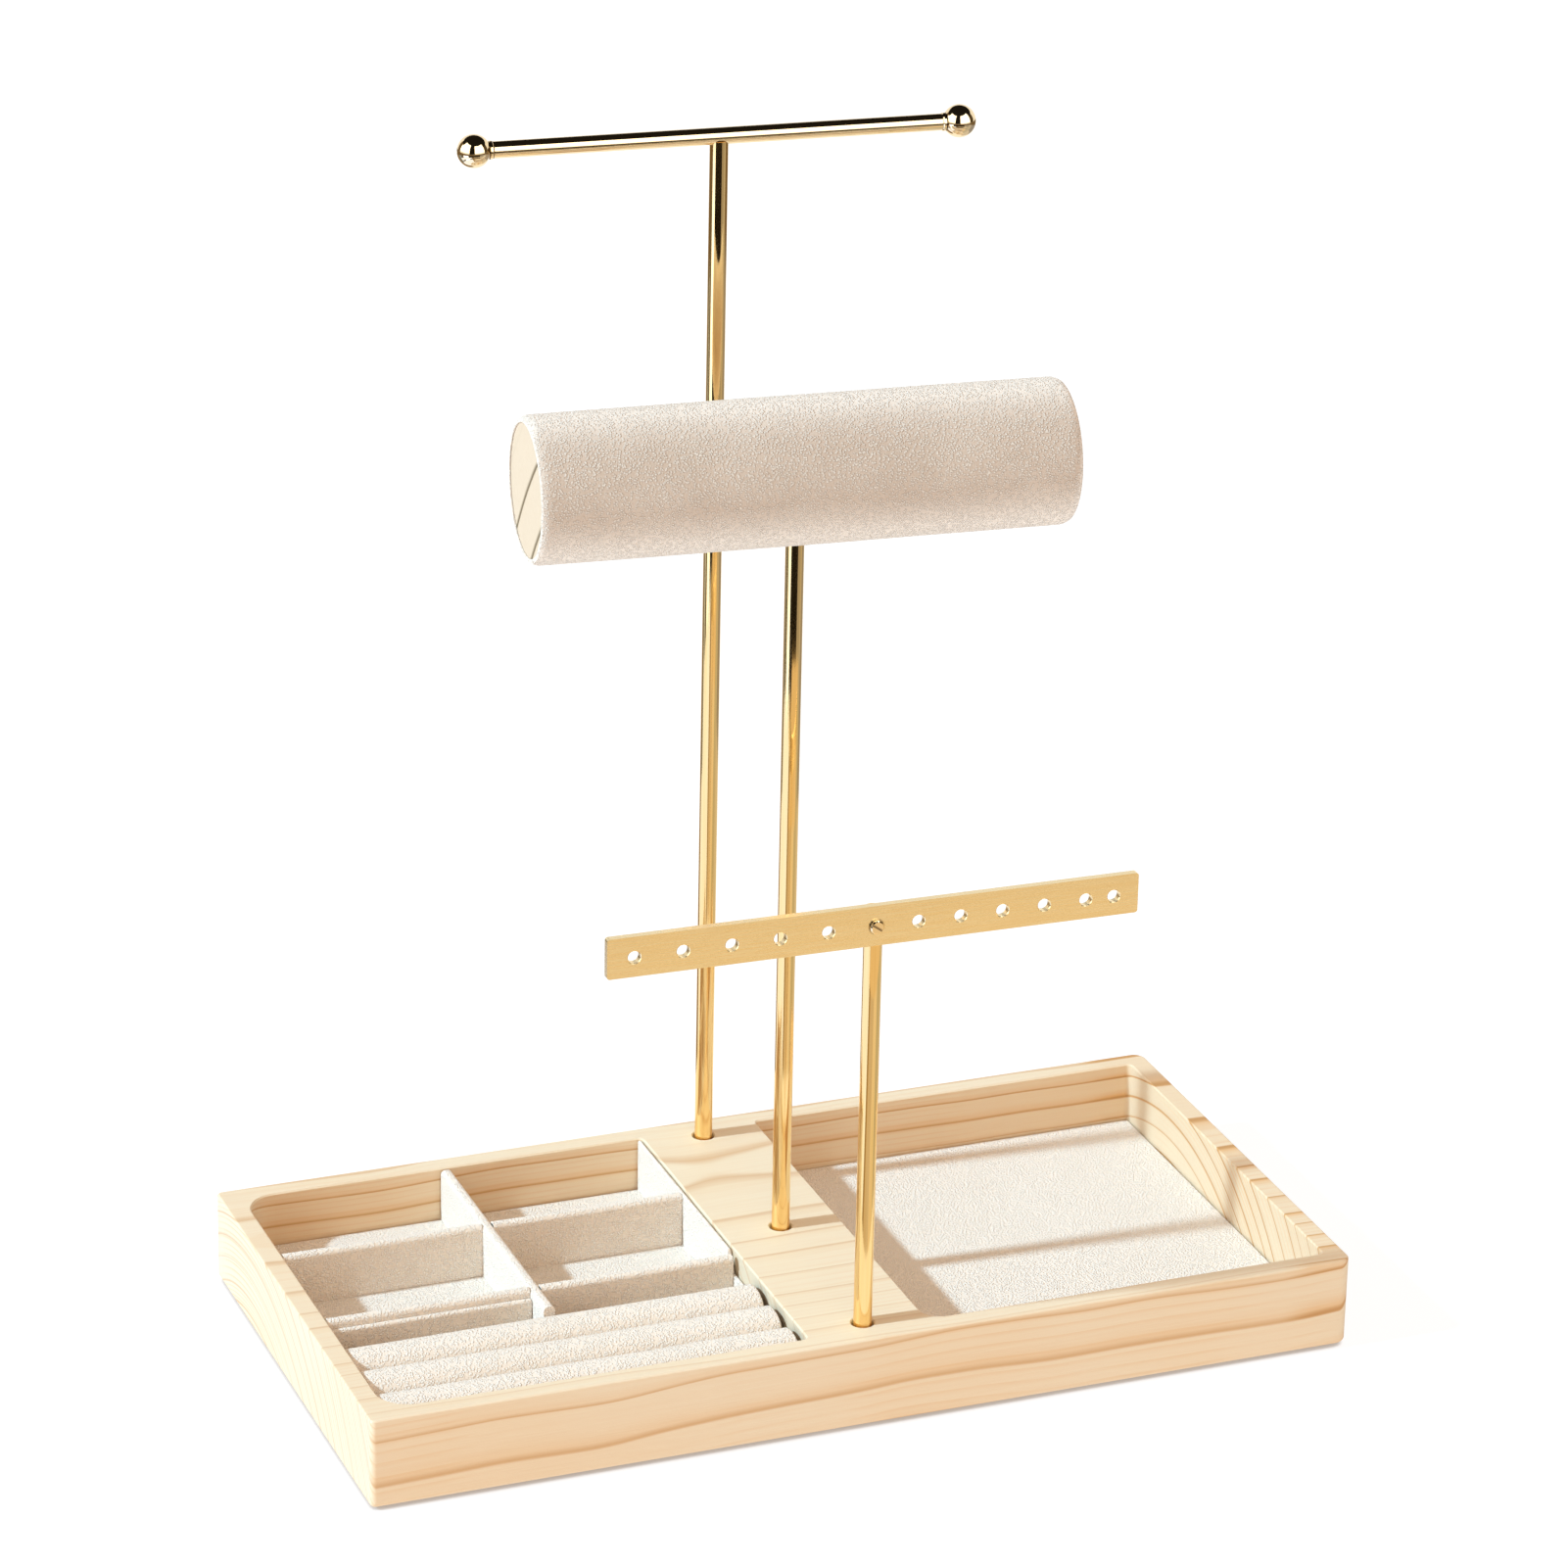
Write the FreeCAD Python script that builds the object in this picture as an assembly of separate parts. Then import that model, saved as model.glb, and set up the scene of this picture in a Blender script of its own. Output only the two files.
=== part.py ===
import FreeCAD, Part
import math
import os

# Jewellery stand: a routed pine tray base carries three brass posts in a row.
# The rear post holds a necklace crossbar with ball ends, the middle post a
# velvet bracelet roll and the front post a drilled earring bar.  The left
# pocket of the base holds a lift-out ring insert and the right pocket a
# lift-out velvet pad.
# Frame: millimetres, +X to the right, +Y to the back, +Z up.  The origin is on
# the surface that the felt pads stand on, under the centre of the base.

V = FreeCAD.Vector

# -------------------------------------------------------------------- whole
stand_height = 323.2

# ---------------------------------------------------------------- base block
base_length = 279.4
base_depth = 139.7
base_height = 25.4
base_left_corner_radius = 1.5
base_right_corner_radius = 3.5
base_top_round = 0.6
base_bottom_round = 1.2
felt_thickness = 1.0
felt_diameter = 12.0
felt_inset = 17.0

# ------------------------------------------------------------------- pockets
rim_width = 6.0
post_land_width = 34.0
pocket_depth = 19.4
left_pocket_corner_radius = 9.0
right_pocket_corner_radius = 6.0
tight_corner_radius = 1.5
pocket_edge_break = 0.4

# --------------------------------------------------------------------- posts
post_diameter = 5.0
post_end_inset = 9.85
post_end_chamfer = 0.4
socket_depth = 16.4
socket_clearance = 0.6
socket_mouth_break = 0.3

# ------------------------------------- screws that hold the posts from below
screw_diameter = 3.0
screw_head_diameter = 5.6
screw_head_height = 2.2
screw_head_chamfer = 0.66
screw_engagement = 9.0
screw_clearance = 0.25
tapped_hole_spare = 1.5
slot_width = 0.8
slot_depth = 1.0
washer_diameter = 7.6
washer_thickness = 0.8
washer_hole_clearance = 0.2
counterbore_diameter = 9.0
counterbore_depth = 5.0

# --------------------------------------------------------- necklace crossbar
necklace_bar_diameter = 4.6
necklace_ball_diameter = 9.0
necklace_ball_spacing = 132.7
necklace_collar_diameter = 5.0
necklace_collar_length = 1.3
necklace_collar_chamfer = 0.35
necklace_collar_sink = 0.7
necklace_cope_rise = 1.15
necklace_spigot_diameter = 2.6
necklace_spigot_length = 2.4
necklace_spigot_root = 1.15
ball_spigot_length = 4.0
necklace_turn_angle = -5.4

# ------------------------------------------------------------- bracelet roll
roll_axis_above_base = 219.2
roll_diameter = 39.2
roll_length = 144.0
roll_velvet_thickness = 0.8
roll_sleeve_chamfer = 0.6
roll_foam_thickness = 1.2
roll_tube_wall = 2.0
roll_cap_thickness = 4.0
roll_cap_chamfer = 0.3
roll_block_length = 34.0
roll_post_engagement = 26.0
roll_hole_clearance = 0.1
roll_turn_angle = -5.6

# --------------------------------------------------------------- earring bar
earring_bar_above_base = 110.3
earring_bar_length = 146.0
earring_bar_height = 11.2
earring_bar_thickness = 2.0
earring_bar_corner_radius = 0.8
earring_hole_diameter = 3.4
earring_hole_break = 0.2
earring_holes_left = 5
earring_holes_right = 6
earring_margin_left = 7.3
earring_margin_right = 6.9
earring_last_step_right = 7.9
earring_hole_rise = 5.4
earring_flat_depth = 2.1
earring_post_top_gap = 1.2
earring_screw_diameter = 2.0
earring_screw_head_diameter = 3.8
earring_screw_head_height = 1.1
earring_screw_head_chamfer = 0.33
earring_screw_slot_width = 0.6
earring_screw_slot_depth = 0.6
earring_screw_slot_angle = 35.0
earring_screw_engagement = 2.2
earring_turn_angle = -1.6

# ------------------------------------------------- ring insert, left pocket
insert_clearance = 0.4
insert_end_gap = 0.4
insert_board_thickness = 3.0
lining_thickness = 0.8
divider_board_thickness = 2.0
divider_velvet_thickness = 0.6
divider_top_round = 1.0
divider_top_below_rim = 0.5
lap_clearance = 0.05
long_divider_offset = 58.2
rear_divider_offset = 34.9
front_slot_width = 10.9
front_strip_thickness = 1.8
front_strip_round = 0.9
front_strip_drop = 2.0
side_strip_thickness = 1.0
side_strip_drop = 0.4
strip_gap = 0.1
panel_end_gap = 0.5

# ------------------------------------------------------- ring rolls
ring_roll_count = 3
ring_roll_width = 13.2
ring_roll_gap = 0.1
ring_roll_top_below_rim = 1.0
ring_roll_velvet_thickness = 0.6
ring_roll_end_gap = 0.9

# ----------------------------------------------------- pad, right pocket
pad_clearance = 0.4
pad_board_thickness = 1.0
pad_velvet_thickness = 0.8

# ------------------------------------------------ cutters and edge searches
cutter_overshoot = 1.0
edge_tolerance = 1e-4

# ---------- radii of upright corners, by the signs of their X and Y sides
base_corners = {(-1, -1): base_left_corner_radius, (-1, 1): base_left_corner_radius,
                (1, -1): base_right_corner_radius, (1, 1): base_right_corner_radius}
left_pocket_corners = {(-1, -1): left_pocket_corner_radius, (-1, 1): left_pocket_corner_radius,
                       (1, -1): tight_corner_radius, (1, 1): tight_corner_radius}
right_pocket_corners = {(-1, -1): right_pocket_corner_radius, (-1, 1): tight_corner_radius,
                        (1, -1): tight_corner_radius, (1, 1): tight_corner_radius}

# ------------------------------------------------------------ derived places
base_bottom = felt_thickness
base_top = base_bottom + base_height
pocket_floor = base_top - pocket_depth
socket_floor = base_top - socket_depth
washer_seat = base_bottom + counterbore_depth
post_radius = post_diameter / 2
socket_radius = post_radius + socket_clearance
half_land = post_land_width / 2
rear_post_y = base_depth / 2 - post_end_inset
middle_post_y = 0.0
front_post_y = -rear_post_y
pocket_front = rim_width - base_depth / 2
pocket_back = base_depth / 2 - rim_width
pocket_far_side = base_length / 2 - rim_width
necklace_bar_z = stand_height - necklace_ball_diameter / 2
roll_axis_z = base_top + roll_axis_above_base
earring_bar_z = base_top + earring_bar_above_base

# Left pocket insert: its board, and what stands on the lining.
insert_left = insert_clearance - pocket_far_side
insert_right = -half_land - insert_end_gap
insert_front = pocket_front + insert_clearance
insert_back = pocket_back - insert_clearance
insert_standing = pocket_floor + insert_board_thickness + lining_thickness
divider_top = base_top - divider_top_below_rim
divider_thickness = divider_board_thickness + 2 * divider_velvet_thickness
lap_height = (insert_standing + divider_top) / 2
long_divider_x = insert_left + long_divider_offset
rear_divider_y = insert_back - rear_divider_offset
roll_pitch = ring_roll_width + ring_roll_gap
ring_rolls_back = insert_front + ring_roll_count * roll_pitch - ring_roll_gap
long_divider_front = ring_rolls_back + strip_gap
front_divider_y = ring_rolls_back + front_slot_width + divider_thickness / 2


def cylinder_z(radius, bottom, top, x=0.0, y=0.0):
    """Upright cylinder between two heights."""
    return Part.makeCylinder(radius, top - bottom, V(x, y, bottom), V(0, 0, 1))


def cylinder_x(radius, left, right, y, z):
    """Level cylinder along X."""
    return Part.makeCylinder(radius, right - left, V(left, y, z), V(1, 0, 0))


def block(left, right, front, back, bottom, top):
    """Box given by its six faces."""
    return Part.makeBox(right - left, back - front, top - bottom, V(left, front, bottom))


def upright_edges(shape):
    """Edges of the shape that run straight up."""
    edges = []
    for edge in shape.Edges:
        box = edge.BoundBox
        if box.ZLength > edge_tolerance and max(box.XLength, box.YLength) < edge_tolerance:
            edges.append(edge)
    return edges


def edges_at_height(shape, height):
    """Edges of the shape that lie level at a height."""
    edges = []
    for edge in shape.Edges:
        box = edge.BoundBox
        if abs(box.ZMin - height) < edge_tolerance and abs(box.ZMax - height) < edge_tolerance:
            edges.append(edge)
    return edges


def edges_facing_x(shape, x):
    """Edges of the shape that lie in the plane square to X at x."""
    edges = []
    for edge in shape.Edges:
        box = edge.BoundBox
        if box.XLength < edge_tolerance and abs(box.XMin - x) < edge_tolerance:
            edges.append(edge)
    return edges


def rounded_block(left, right, front, back, bottom, top, corners, inset=0):
    """Box with its own radius, less the inset, at each upright corner."""
    shape = block(left, right, front, back, bottom, top)
    for (side, end), radius in corners.items():
        x = right if side > 0 else left
        y = back if end > 0 else front
        edges = [edge for edge in upright_edges(shape)
                 if abs(edge.BoundBox.Center.x - x) < edge_tolerance
                 and abs(edge.BoundBox.Center.y - y) < edge_tolerance]
        shape = shape.makeFillet(radius - inset, edges)
    return shape


def turned(shape, angle, post_y):
    """Shape turned about the axis of the post at post_y."""
    shape.rotate(V(0, post_y, 0), V(0, 0, 1), angle)
    return shape


# -------------------------------------------------------------------- base
def pocket_tool(left, right, corners):
    """Cutter shape of one pocket with its rounded corners."""
    return rounded_block(left, right, pocket_front, pocket_back, pocket_floor,
                         base_top + cutter_overshoot, corners)


def pocket_mouth_edges(shape):
    """Edges of both pockets' mouths on the top of the base."""
    edges = []
    for edge in edges_at_height(shape, base_top):
        box = edge.BoundBox
        nearest = min(abs(box.XMin), abs(box.XMax))
        farthest = max(abs(box.XMin), abs(box.XMax))
        within_x = nearest > half_land - edge_tolerance and farthest < pocket_far_side + edge_tolerance
        within_y = max(box.YMax, -box.YMin) < pocket_back + edge_tolerance
        if within_x and within_y:
            edges.append(edge)
    return edges


def socket_tool(post_y):
    """Everything bored on one post's axis: socket, screw hole and counterbore."""
    socket = cylinder_z(socket_radius, socket_floor, base_top, 0, post_y)
    mouth = Part.makeCone(socket_radius, socket_radius + socket_mouth_break, socket_mouth_break,
                          V(0, post_y, base_top - socket_mouth_break), V(0, 0, 1))
    screw_hole = cylinder_z(screw_diameter / 2 + screw_clearance, base_bottom, socket_floor, 0, post_y)
    counterbore = cylinder_z(counterbore_diameter / 2, base_bottom, washer_seat, 0, post_y)
    return socket.fuse([mouth, screw_hole, counterbore])


def make_tray_base():
    """Solid wood block with two routed pockets and three post sockets."""
    half_length = base_length / 2
    half_depth = base_depth / 2
    shape = rounded_block(-half_length, half_length, -half_depth, half_depth,
                          base_bottom, base_top, base_corners)
    shape = shape.makeFillet(base_top_round, edges_at_height(shape, base_top))
    shape = shape.makeFillet(base_bottom_round, edges_at_height(shape, base_bottom))
    tools = [pocket_tool(-pocket_far_side, -half_land, left_pocket_corners),
             pocket_tool(half_land, pocket_far_side, right_pocket_corners)]
    for post_y in (rear_post_y, middle_post_y, front_post_y):
        tools.append(socket_tool(post_y))
    shape = shape.cut(tools)
    return shape.makeChamfer(pocket_edge_break, pocket_mouth_edges(shape))


def make_felt_pads():
    """Four round felt pads under the corners."""
    pads = []
    for side in (-1, 1):
        for end in (-1, 1):
            x = side * (base_length / 2 - felt_inset)
            y = end * (base_depth / 2 - felt_inset)
            pads.append(cylinder_z(felt_diameter / 2, 0, felt_thickness, x, y))
    return Part.makeCompound(pads)


def make_post_washers():
    """Three flat washers in the counterbores."""
    washers = []
    for post_y in (rear_post_y, middle_post_y, front_post_y):
        ring = cylinder_z(washer_diameter / 2, washer_seat - washer_thickness, washer_seat, 0, post_y)
        hole = cylinder_z(screw_diameter / 2 + washer_hole_clearance,
                          washer_seat - washer_thickness, washer_seat, 0, post_y)
        washers.append(ring.cut(hole))
    return Part.makeCompound(washers)


# ------------------------------------------------------------------- posts
def post_stock(top, post_y):
    """Rod standing on its socket's floor, with the tapped hole for its screw."""
    rod = cylinder_z(post_radius, socket_floor, top, 0, post_y)
    rod = rod.makeChamfer(post_end_chamfer, edges_at_height(rod, socket_floor))
    tapped = cylinder_z(screw_diameter / 2, socket_floor,
                        socket_floor + screw_engagement + tapped_hole_spare, 0, post_y)
    return rod.cut(tapped)


def make_post_screw(post_y):
    """Slotted pan-head screw that pulls a post down on its socket's floor."""
    head_top = washer_seat - washer_thickness
    head_bottom = head_top - screw_head_height
    head = cylinder_z(screw_head_diameter / 2, head_bottom, head_top, 0, post_y)
    head = head.makeChamfer(screw_head_chamfer, edges_at_height(head, head_bottom))
    slot = block(-screw_head_diameter, screw_head_diameter, post_y - slot_width / 2,
                 post_y + slot_width / 2, head_bottom, head_bottom + slot_depth)
    shank = cylinder_z(screw_diameter / 2, head_top, socket_floor + screw_engagement, 0, post_y)
    return head.cut(slot).fuse(shank).removeSplitter()


# --------------------------------------------------------- necklace crossbar
necklace_bar_radius = necklace_bar_diameter / 2
necklace_bar_bottom = necklace_bar_z - necklace_bar_radius
necklace_spigot_radius = necklace_spigot_diameter / 2
necklace_spigot_top = necklace_bar_bottom + necklace_spigot_length
necklace_spigot_foot = necklace_bar_bottom - necklace_spigot_root
necklace_ball_radius = necklace_ball_diameter / 2
necklace_ball_x = necklace_ball_spacing / 2
necklace_collar_end = necklace_ball_x - necklace_ball_radius + necklace_collar_sink
necklace_bar_end = necklace_collar_end - necklace_collar_length


def necklace_post_spigot():
    """Spigot on top of the rear post, and so the hole for it in the crossbar."""
    return cylinder_z(necklace_spigot_radius, necklace_spigot_foot, necklace_spigot_top,
                      0, rear_post_y)


def make_necklace_post():
    """Rear post: its top is coped round the crossbar and ends in a spigot."""
    post = post_stock(necklace_bar_bottom + necklace_cope_rise, rear_post_y)
    saddle = cylinder_x(necklace_bar_radius, -post_diameter, post_diameter,
                        rear_post_y, necklace_bar_z)
    post = post.cut(saddle).fuse(necklace_post_spigot()).removeSplitter()
    return turned(post, necklace_turn_angle, rear_post_y)


def make_necklace_crossbar():
    """Level rod with a turned spigot at each end and a hole for the post's spigot."""
    bar = cylinder_x(necklace_bar_radius, -necklace_bar_end, necklace_bar_end,
                     rear_post_y, necklace_bar_z)
    spigots = cylinder_x(necklace_spigot_radius, -necklace_bar_end - ball_spigot_length,
                         necklace_bar_end + ball_spigot_length, rear_post_y, necklace_bar_z)
    bar = bar.fuse(spigots).removeSplitter().cut(necklace_post_spigot())
    return turned(bar, necklace_turn_angle, rear_post_y)


def make_ball_finial(side):
    """Ball and collar turned in one, bored to fit the crossbar's spigot."""
    bore_end = necklace_bar_end + ball_spigot_length
    collar_radius = necklace_collar_diameter / 2
    collar_shoulder = collar_radius - necklace_collar_chamfer
    ball_start = math.sqrt(necklace_ball_radius ** 2 - (necklace_ball_x - necklace_collar_end) ** 2)

    def at(x, radius):
        return V(x, rear_post_y, necklace_bar_z + radius)

    outline = [at(bore_end, 0), at(bore_end, necklace_spigot_radius),
               at(necklace_bar_end, necklace_spigot_radius), at(necklace_bar_end, collar_shoulder),
               at(necklace_bar_end + necklace_collar_chamfer, collar_radius),
               at(necklace_collar_end - necklace_collar_chamfer, collar_radius),
               at(necklace_collar_end, collar_shoulder), at(necklace_collar_end, ball_start)]
    ball_end = at(necklace_ball_x + necklace_ball_radius, 0)
    edges = [Part.makeLine(start, end) for start, end in zip(outline, outline[1:])]
    edges.append(Part.Arc(outline[-1], at(necklace_ball_x, necklace_ball_radius), ball_end).toShape())
    edges.append(Part.makeLine(ball_end, outline[0]))
    finial = Part.Face(Part.Wire(edges)).revolve(at(0, 0), V(1, 0, 0), 360)
    if side < 0:
        finial.rotate(V(0, rear_post_y, 0), V(0, 0, 1), 180)
    return turned(finial, necklace_turn_angle, rear_post_y)


# ------------------------------------------------------------- bracelet roll
roll_radius = roll_diameter / 2
roll_foam_radius = roll_radius - roll_velvet_thickness
roll_tube_radius = roll_foam_radius - roll_foam_thickness
roll_bore_radius = roll_tube_radius - roll_tube_wall
roll_half = roll_length / 2
roll_body_half = roll_half - roll_cap_thickness
roll_post_hole = post_radius + roll_hole_clearance
roll_post_top = roll_axis_z - roll_tube_radius + roll_post_engagement


def roll_post_bore():
    """Hole up from the roll's underside to its axis, for the post."""
    return cylinder_z(roll_post_hole, roll_axis_z - roll_diameter, roll_axis_z, 0, middle_post_y)


def roll_layer(outer, inner, half_length):
    """Hollow layer of the roll with the hole that the post comes up through."""
    layer = cylinder_x(outer, -half_length, half_length, middle_post_y, roll_axis_z)
    core = cylinder_x(inner, -half_length, half_length, middle_post_y, roll_axis_z)
    return layer.cut([core, roll_post_bore()])


def make_roll_velvet():
    """Velvet sleeve, eased at both ends, round the foam and the caps."""
    sleeve = cylinder_x(roll_radius, -roll_half, roll_half, middle_post_y, roll_axis_z)
    ends = edges_facing_x(sleeve, -roll_half) + edges_facing_x(sleeve, roll_half)
    sleeve = sleeve.makeChamfer(roll_sleeve_chamfer, ends)
    core = cylinder_x(roll_foam_radius, -roll_half, roll_half, middle_post_y, roll_axis_z)
    return turned(sleeve.cut([core, roll_post_bore()]), roll_turn_angle, middle_post_y)


def make_roll_foam():
    """Thin foam wrap between the tube and the velvet."""
    return turned(roll_layer(roll_foam_radius, roll_tube_radius, roll_body_half),
                  roll_turn_angle, middle_post_y)


def make_roll_tube():
    """Stiff tube that the foam is wrapped on."""
    return turned(roll_layer(roll_tube_radius, roll_bore_radius, roll_body_half),
                  roll_turn_angle, middle_post_y)


def make_roll_block():
    """Wooden plug inside the tube that takes the end of the post."""
    plug = cylinder_x(roll_bore_radius, -roll_block_length / 2, roll_block_length / 2,
                      middle_post_y, roll_axis_z)
    hole = cylinder_z(post_radius, roll_axis_z - roll_diameter, roll_post_top, 0, middle_post_y)
    return turned(plug.cut(hole), roll_turn_angle, middle_post_y)


def make_roll_cap(side):
    """Wooden disc that closes one end of the roll, stepped into the tube."""
    disc = cylinder_x(roll_foam_radius, roll_body_half, roll_half, middle_post_y, roll_axis_z)
    step = cylinder_x(roll_bore_radius, roll_body_half - roll_cap_thickness, roll_body_half,
                      middle_post_y, roll_axis_z)
    disc = disc.makeChamfer(roll_cap_chamfer, edges_facing_x(disc, roll_half))
    cap = disc.fuse(step).removeSplitter()
    if side < 0:
        cap.rotate(V(0, middle_post_y, 0), V(0, 0, 1), 180)
    return turned(cap, roll_turn_angle, middle_post_y)


def make_bracelet_post():
    """Middle post: it goes up through the roll's underside into the block."""
    return turned(post_stock(roll_post_top, middle_post_y), roll_turn_angle, middle_post_y)


# --------------------------------------------------------------- earring bar
flat_y = front_post_y - post_radius + earring_flat_depth
earring_front_y = flat_y - earring_bar_thickness
earring_hole_z = earring_bar_z + earring_hole_rise
earring_pitch_left = (earring_bar_length / 2 - earring_margin_left) / earring_holes_left
earring_outermost_right = earring_bar_length / 2 - earring_margin_right
earring_pitch_right = (earring_outermost_right - earring_last_step_right) / (earring_holes_right - 1)


def bore_y(radius, x, z, front, back):
    """Cylinder along Y, used as a drill."""
    return Part.makeCylinder(radius, back - front, V(x, front, z), V(0, 1, 0))


def make_earring_bar():
    """Flat strip with rounded corners, a row of eased holes and a screw hole."""
    half = earring_bar_length / 2
    strip = block(-half, half, earring_front_y, flat_y,
                  earring_bar_z, earring_bar_z + earring_bar_height)
    corners = [edge for edge in strip.Edges
               if max(edge.BoundBox.XLength, edge.BoundBox.ZLength) < edge_tolerance]
    strip = strip.makeFillet(earring_bar_corner_radius, corners)
    front = earring_front_y - cutter_overshoot
    back = flat_y + cutter_overshoot
    radius = earring_hole_diameter / 2
    drills = [bore_y(earring_screw_diameter / 2, 0, earring_hole_z, front, back)]
    places = [-earring_pitch_left * count for count in range(1, earring_holes_left + 1)]
    places += [earring_pitch_right * count for count in range(1, earring_holes_right)]
    places.append(earring_outermost_right)
    for x in places:
        drills.append(bore_y(radius, x, earring_hole_z, front, back))
        drills.append(Part.makeCone(radius + earring_hole_break, radius, earring_hole_break,
                                    V(x, earring_front_y, earring_hole_z), V(0, 1, 0)))
    return turned(strip.cut(drills), earring_turn_angle, front_post_y)


def make_earring_post():
    """Front post: its top is milled flat and tapped for the bar's screw."""
    top = earring_bar_z + earring_bar_height - earring_post_top_gap
    post = post_stock(top, front_post_y)
    flat = block(-post_diameter, post_diameter, front_post_y - post_diameter, flat_y,
                 earring_bar_z, top)
    tapped = bore_y(earring_screw_diameter / 2, 0, earring_hole_z, flat_y,
                    flat_y + earring_screw_engagement)
    return turned(post.cut([flat, tapped]), earring_turn_angle, front_post_y)


def make_earring_bar_screw():
    """Slotted screw that holds the bar against the post's flat."""
    head_front = earring_front_y - earring_screw_head_height
    head = bore_y(earring_screw_head_diameter / 2, 0, earring_hole_z, head_front, earring_front_y)
    rim = [edge for edge in head.Edges if edge.BoundBox.YMax < head_front + edge_tolerance]
    head = head.makeChamfer(earring_screw_head_chamfer, rim)
    slot = block(-earring_screw_head_diameter, earring_screw_head_diameter,
                 head_front, head_front + earring_screw_slot_depth,
                 earring_hole_z - earring_screw_slot_width / 2,
                 earring_hole_z + earring_screw_slot_width / 2)
    slot.rotate(V(0, 0, earring_hole_z), V(0, 1, 0), earring_screw_slot_angle)
    shank = bore_y(earring_screw_diameter / 2, 0, earring_hole_z, earring_front_y,
                   flat_y + earring_screw_engagement)
    return turned(head.cut(slot).fuse(shank).removeSplitter(), earring_turn_angle, front_post_y)


# --------------------------------------------------------------- ring insert
def insert_outline(right, bottom, top, inset=0):
    """Insert's plan from its left side to some right side, drawn in by inset."""
    return rounded_block(insert_left + inset, right - inset, insert_front + inset, insert_back - inset,
                         bottom, top, left_pocket_corners, insert_clearance + inset)


def make_insert_board():
    """Stiff board on the pocket's floor that carries the whole insert."""
    return insert_outline(insert_right, pocket_floor, pocket_floor + insert_board_thickness)


def make_insert_lining():
    """Velvet glued over the top of the insert's board."""
    return insert_outline(insert_right, pocket_floor + insert_board_thickness, insert_standing)


def panel_board(left, right, front, back):
    """Stiff core of a divider, as tall as the divider less its velvet."""
    return block(left, right, front, back, insert_standing, divider_top - divider_velvet_thickness)


def panel_velvet(left, right, front, back):
    """Velvet over a divider: rounded along the top, open underneath."""
    skin = divider_velvet_thickness
    outer = block(left, right, front, back, insert_standing, divider_top)
    outer = outer.makeFillet(divider_top_round, edges_at_height(outer, divider_top))
    core = block(left + skin, right - skin, front + skin, back - skin,
                 insert_standing, divider_top - skin)
    return outer.cut(core)


long_left = long_divider_x - divider_thickness / 2
long_right = long_divider_x + divider_thickness / 2
half_board = divider_board_thickness / 2
skin = divider_velvet_thickness
side_strip_left = insert_right - side_strip_thickness
cross_right = side_strip_left - panel_end_gap
ring_rolls_right = side_strip_left - ring_roll_end_gap


def lap_slots_below():
    """Slots under the long divider that let the cross boards pass."""
    slots = []
    for cross_y in (rear_divider_y, front_divider_y):
        reach = half_board + lap_clearance
        slots.append(block(long_left - cutter_overshoot, long_right + cutter_overshoot,
                           cross_y - reach, cross_y + reach, insert_standing, lap_height))
    return slots


def make_long_divider_board():
    """Front-to-back board, slotted from below at both cross boards."""
    board = panel_board(long_divider_x - half_board, long_divider_x + half_board,
                        long_divider_front + skin, insert_back - skin)
    return board.cut(lap_slots_below())


def make_long_divider_velvet():
    """Velvet over the long divider, cut where the cross boards pass."""
    velvet = panel_velvet(long_left, long_right, long_divider_front, insert_back)
    return velvet.cut(lap_slots_below())


def make_cross_board(cross_y):
    """Left-to-right board, slotted from above where the long divider sits in it."""
    board = panel_board(insert_left + skin, cross_right - skin,
                        cross_y - half_board, cross_y + half_board)
    slot = block(long_left - lap_clearance, long_right + lap_clearance,
                 cross_y - divider_thickness, cross_y + divider_thickness,
                 lap_height, divider_top)
    return board.cut(slot)


def make_cross_velvet(cross_y, left, right, open_left, open_right):
    """Velvet over one half of a cross divider, open where the board runs on."""
    half = divider_thickness / 2
    velvet = panel_velvet(left, right, cross_y - half, cross_y + half)
    low = insert_standing
    high = divider_top - skin
    if open_left:
        velvet = velvet.cut(block(left, left + skin, cross_y - half_board, cross_y + half_board,
                                  low, high))
    if open_right:
        velvet = velvet.cut(block(right - skin, right, cross_y - half_board, cross_y + half_board,
                                  low, high))
    return velvet


def make_left_cross_velvet(cross_y):
    """Velvet over the left half of a cross divider."""
    return make_cross_velvet(cross_y, insert_left, long_left - lap_clearance, False, True)


def make_right_cross_velvet(cross_y):
    """Velvet over the right half of a cross divider."""
    return make_cross_velvet(cross_y, long_right + lap_clearance, cross_right, True, False)


def make_front_strip():
    """Velvet-covered strip in front of the front divider, left column only."""
    back = front_divider_y - divider_thickness / 2 - strip_gap
    top = divider_top - front_strip_drop
    strip = block(insert_left, long_left - strip_gap, back - front_strip_thickness, back,
                  insert_standing, top)
    front_edge = [edge for edge in edges_at_height(strip, top)
                  if edge.BoundBox.YMax < back - front_strip_thickness + edge_tolerance]
    return strip.makeFillet(front_strip_round, front_edge)


def make_side_strip():
    """Velvet-covered strip that stands along the pocket's right wall, front to back."""
    top = base_top - side_strip_drop
    strip = block(side_strip_left, insert_right, insert_front, insert_back, insert_standing, top)
    return strip.common(insert_outline(insert_right, insert_standing, top))


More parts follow.
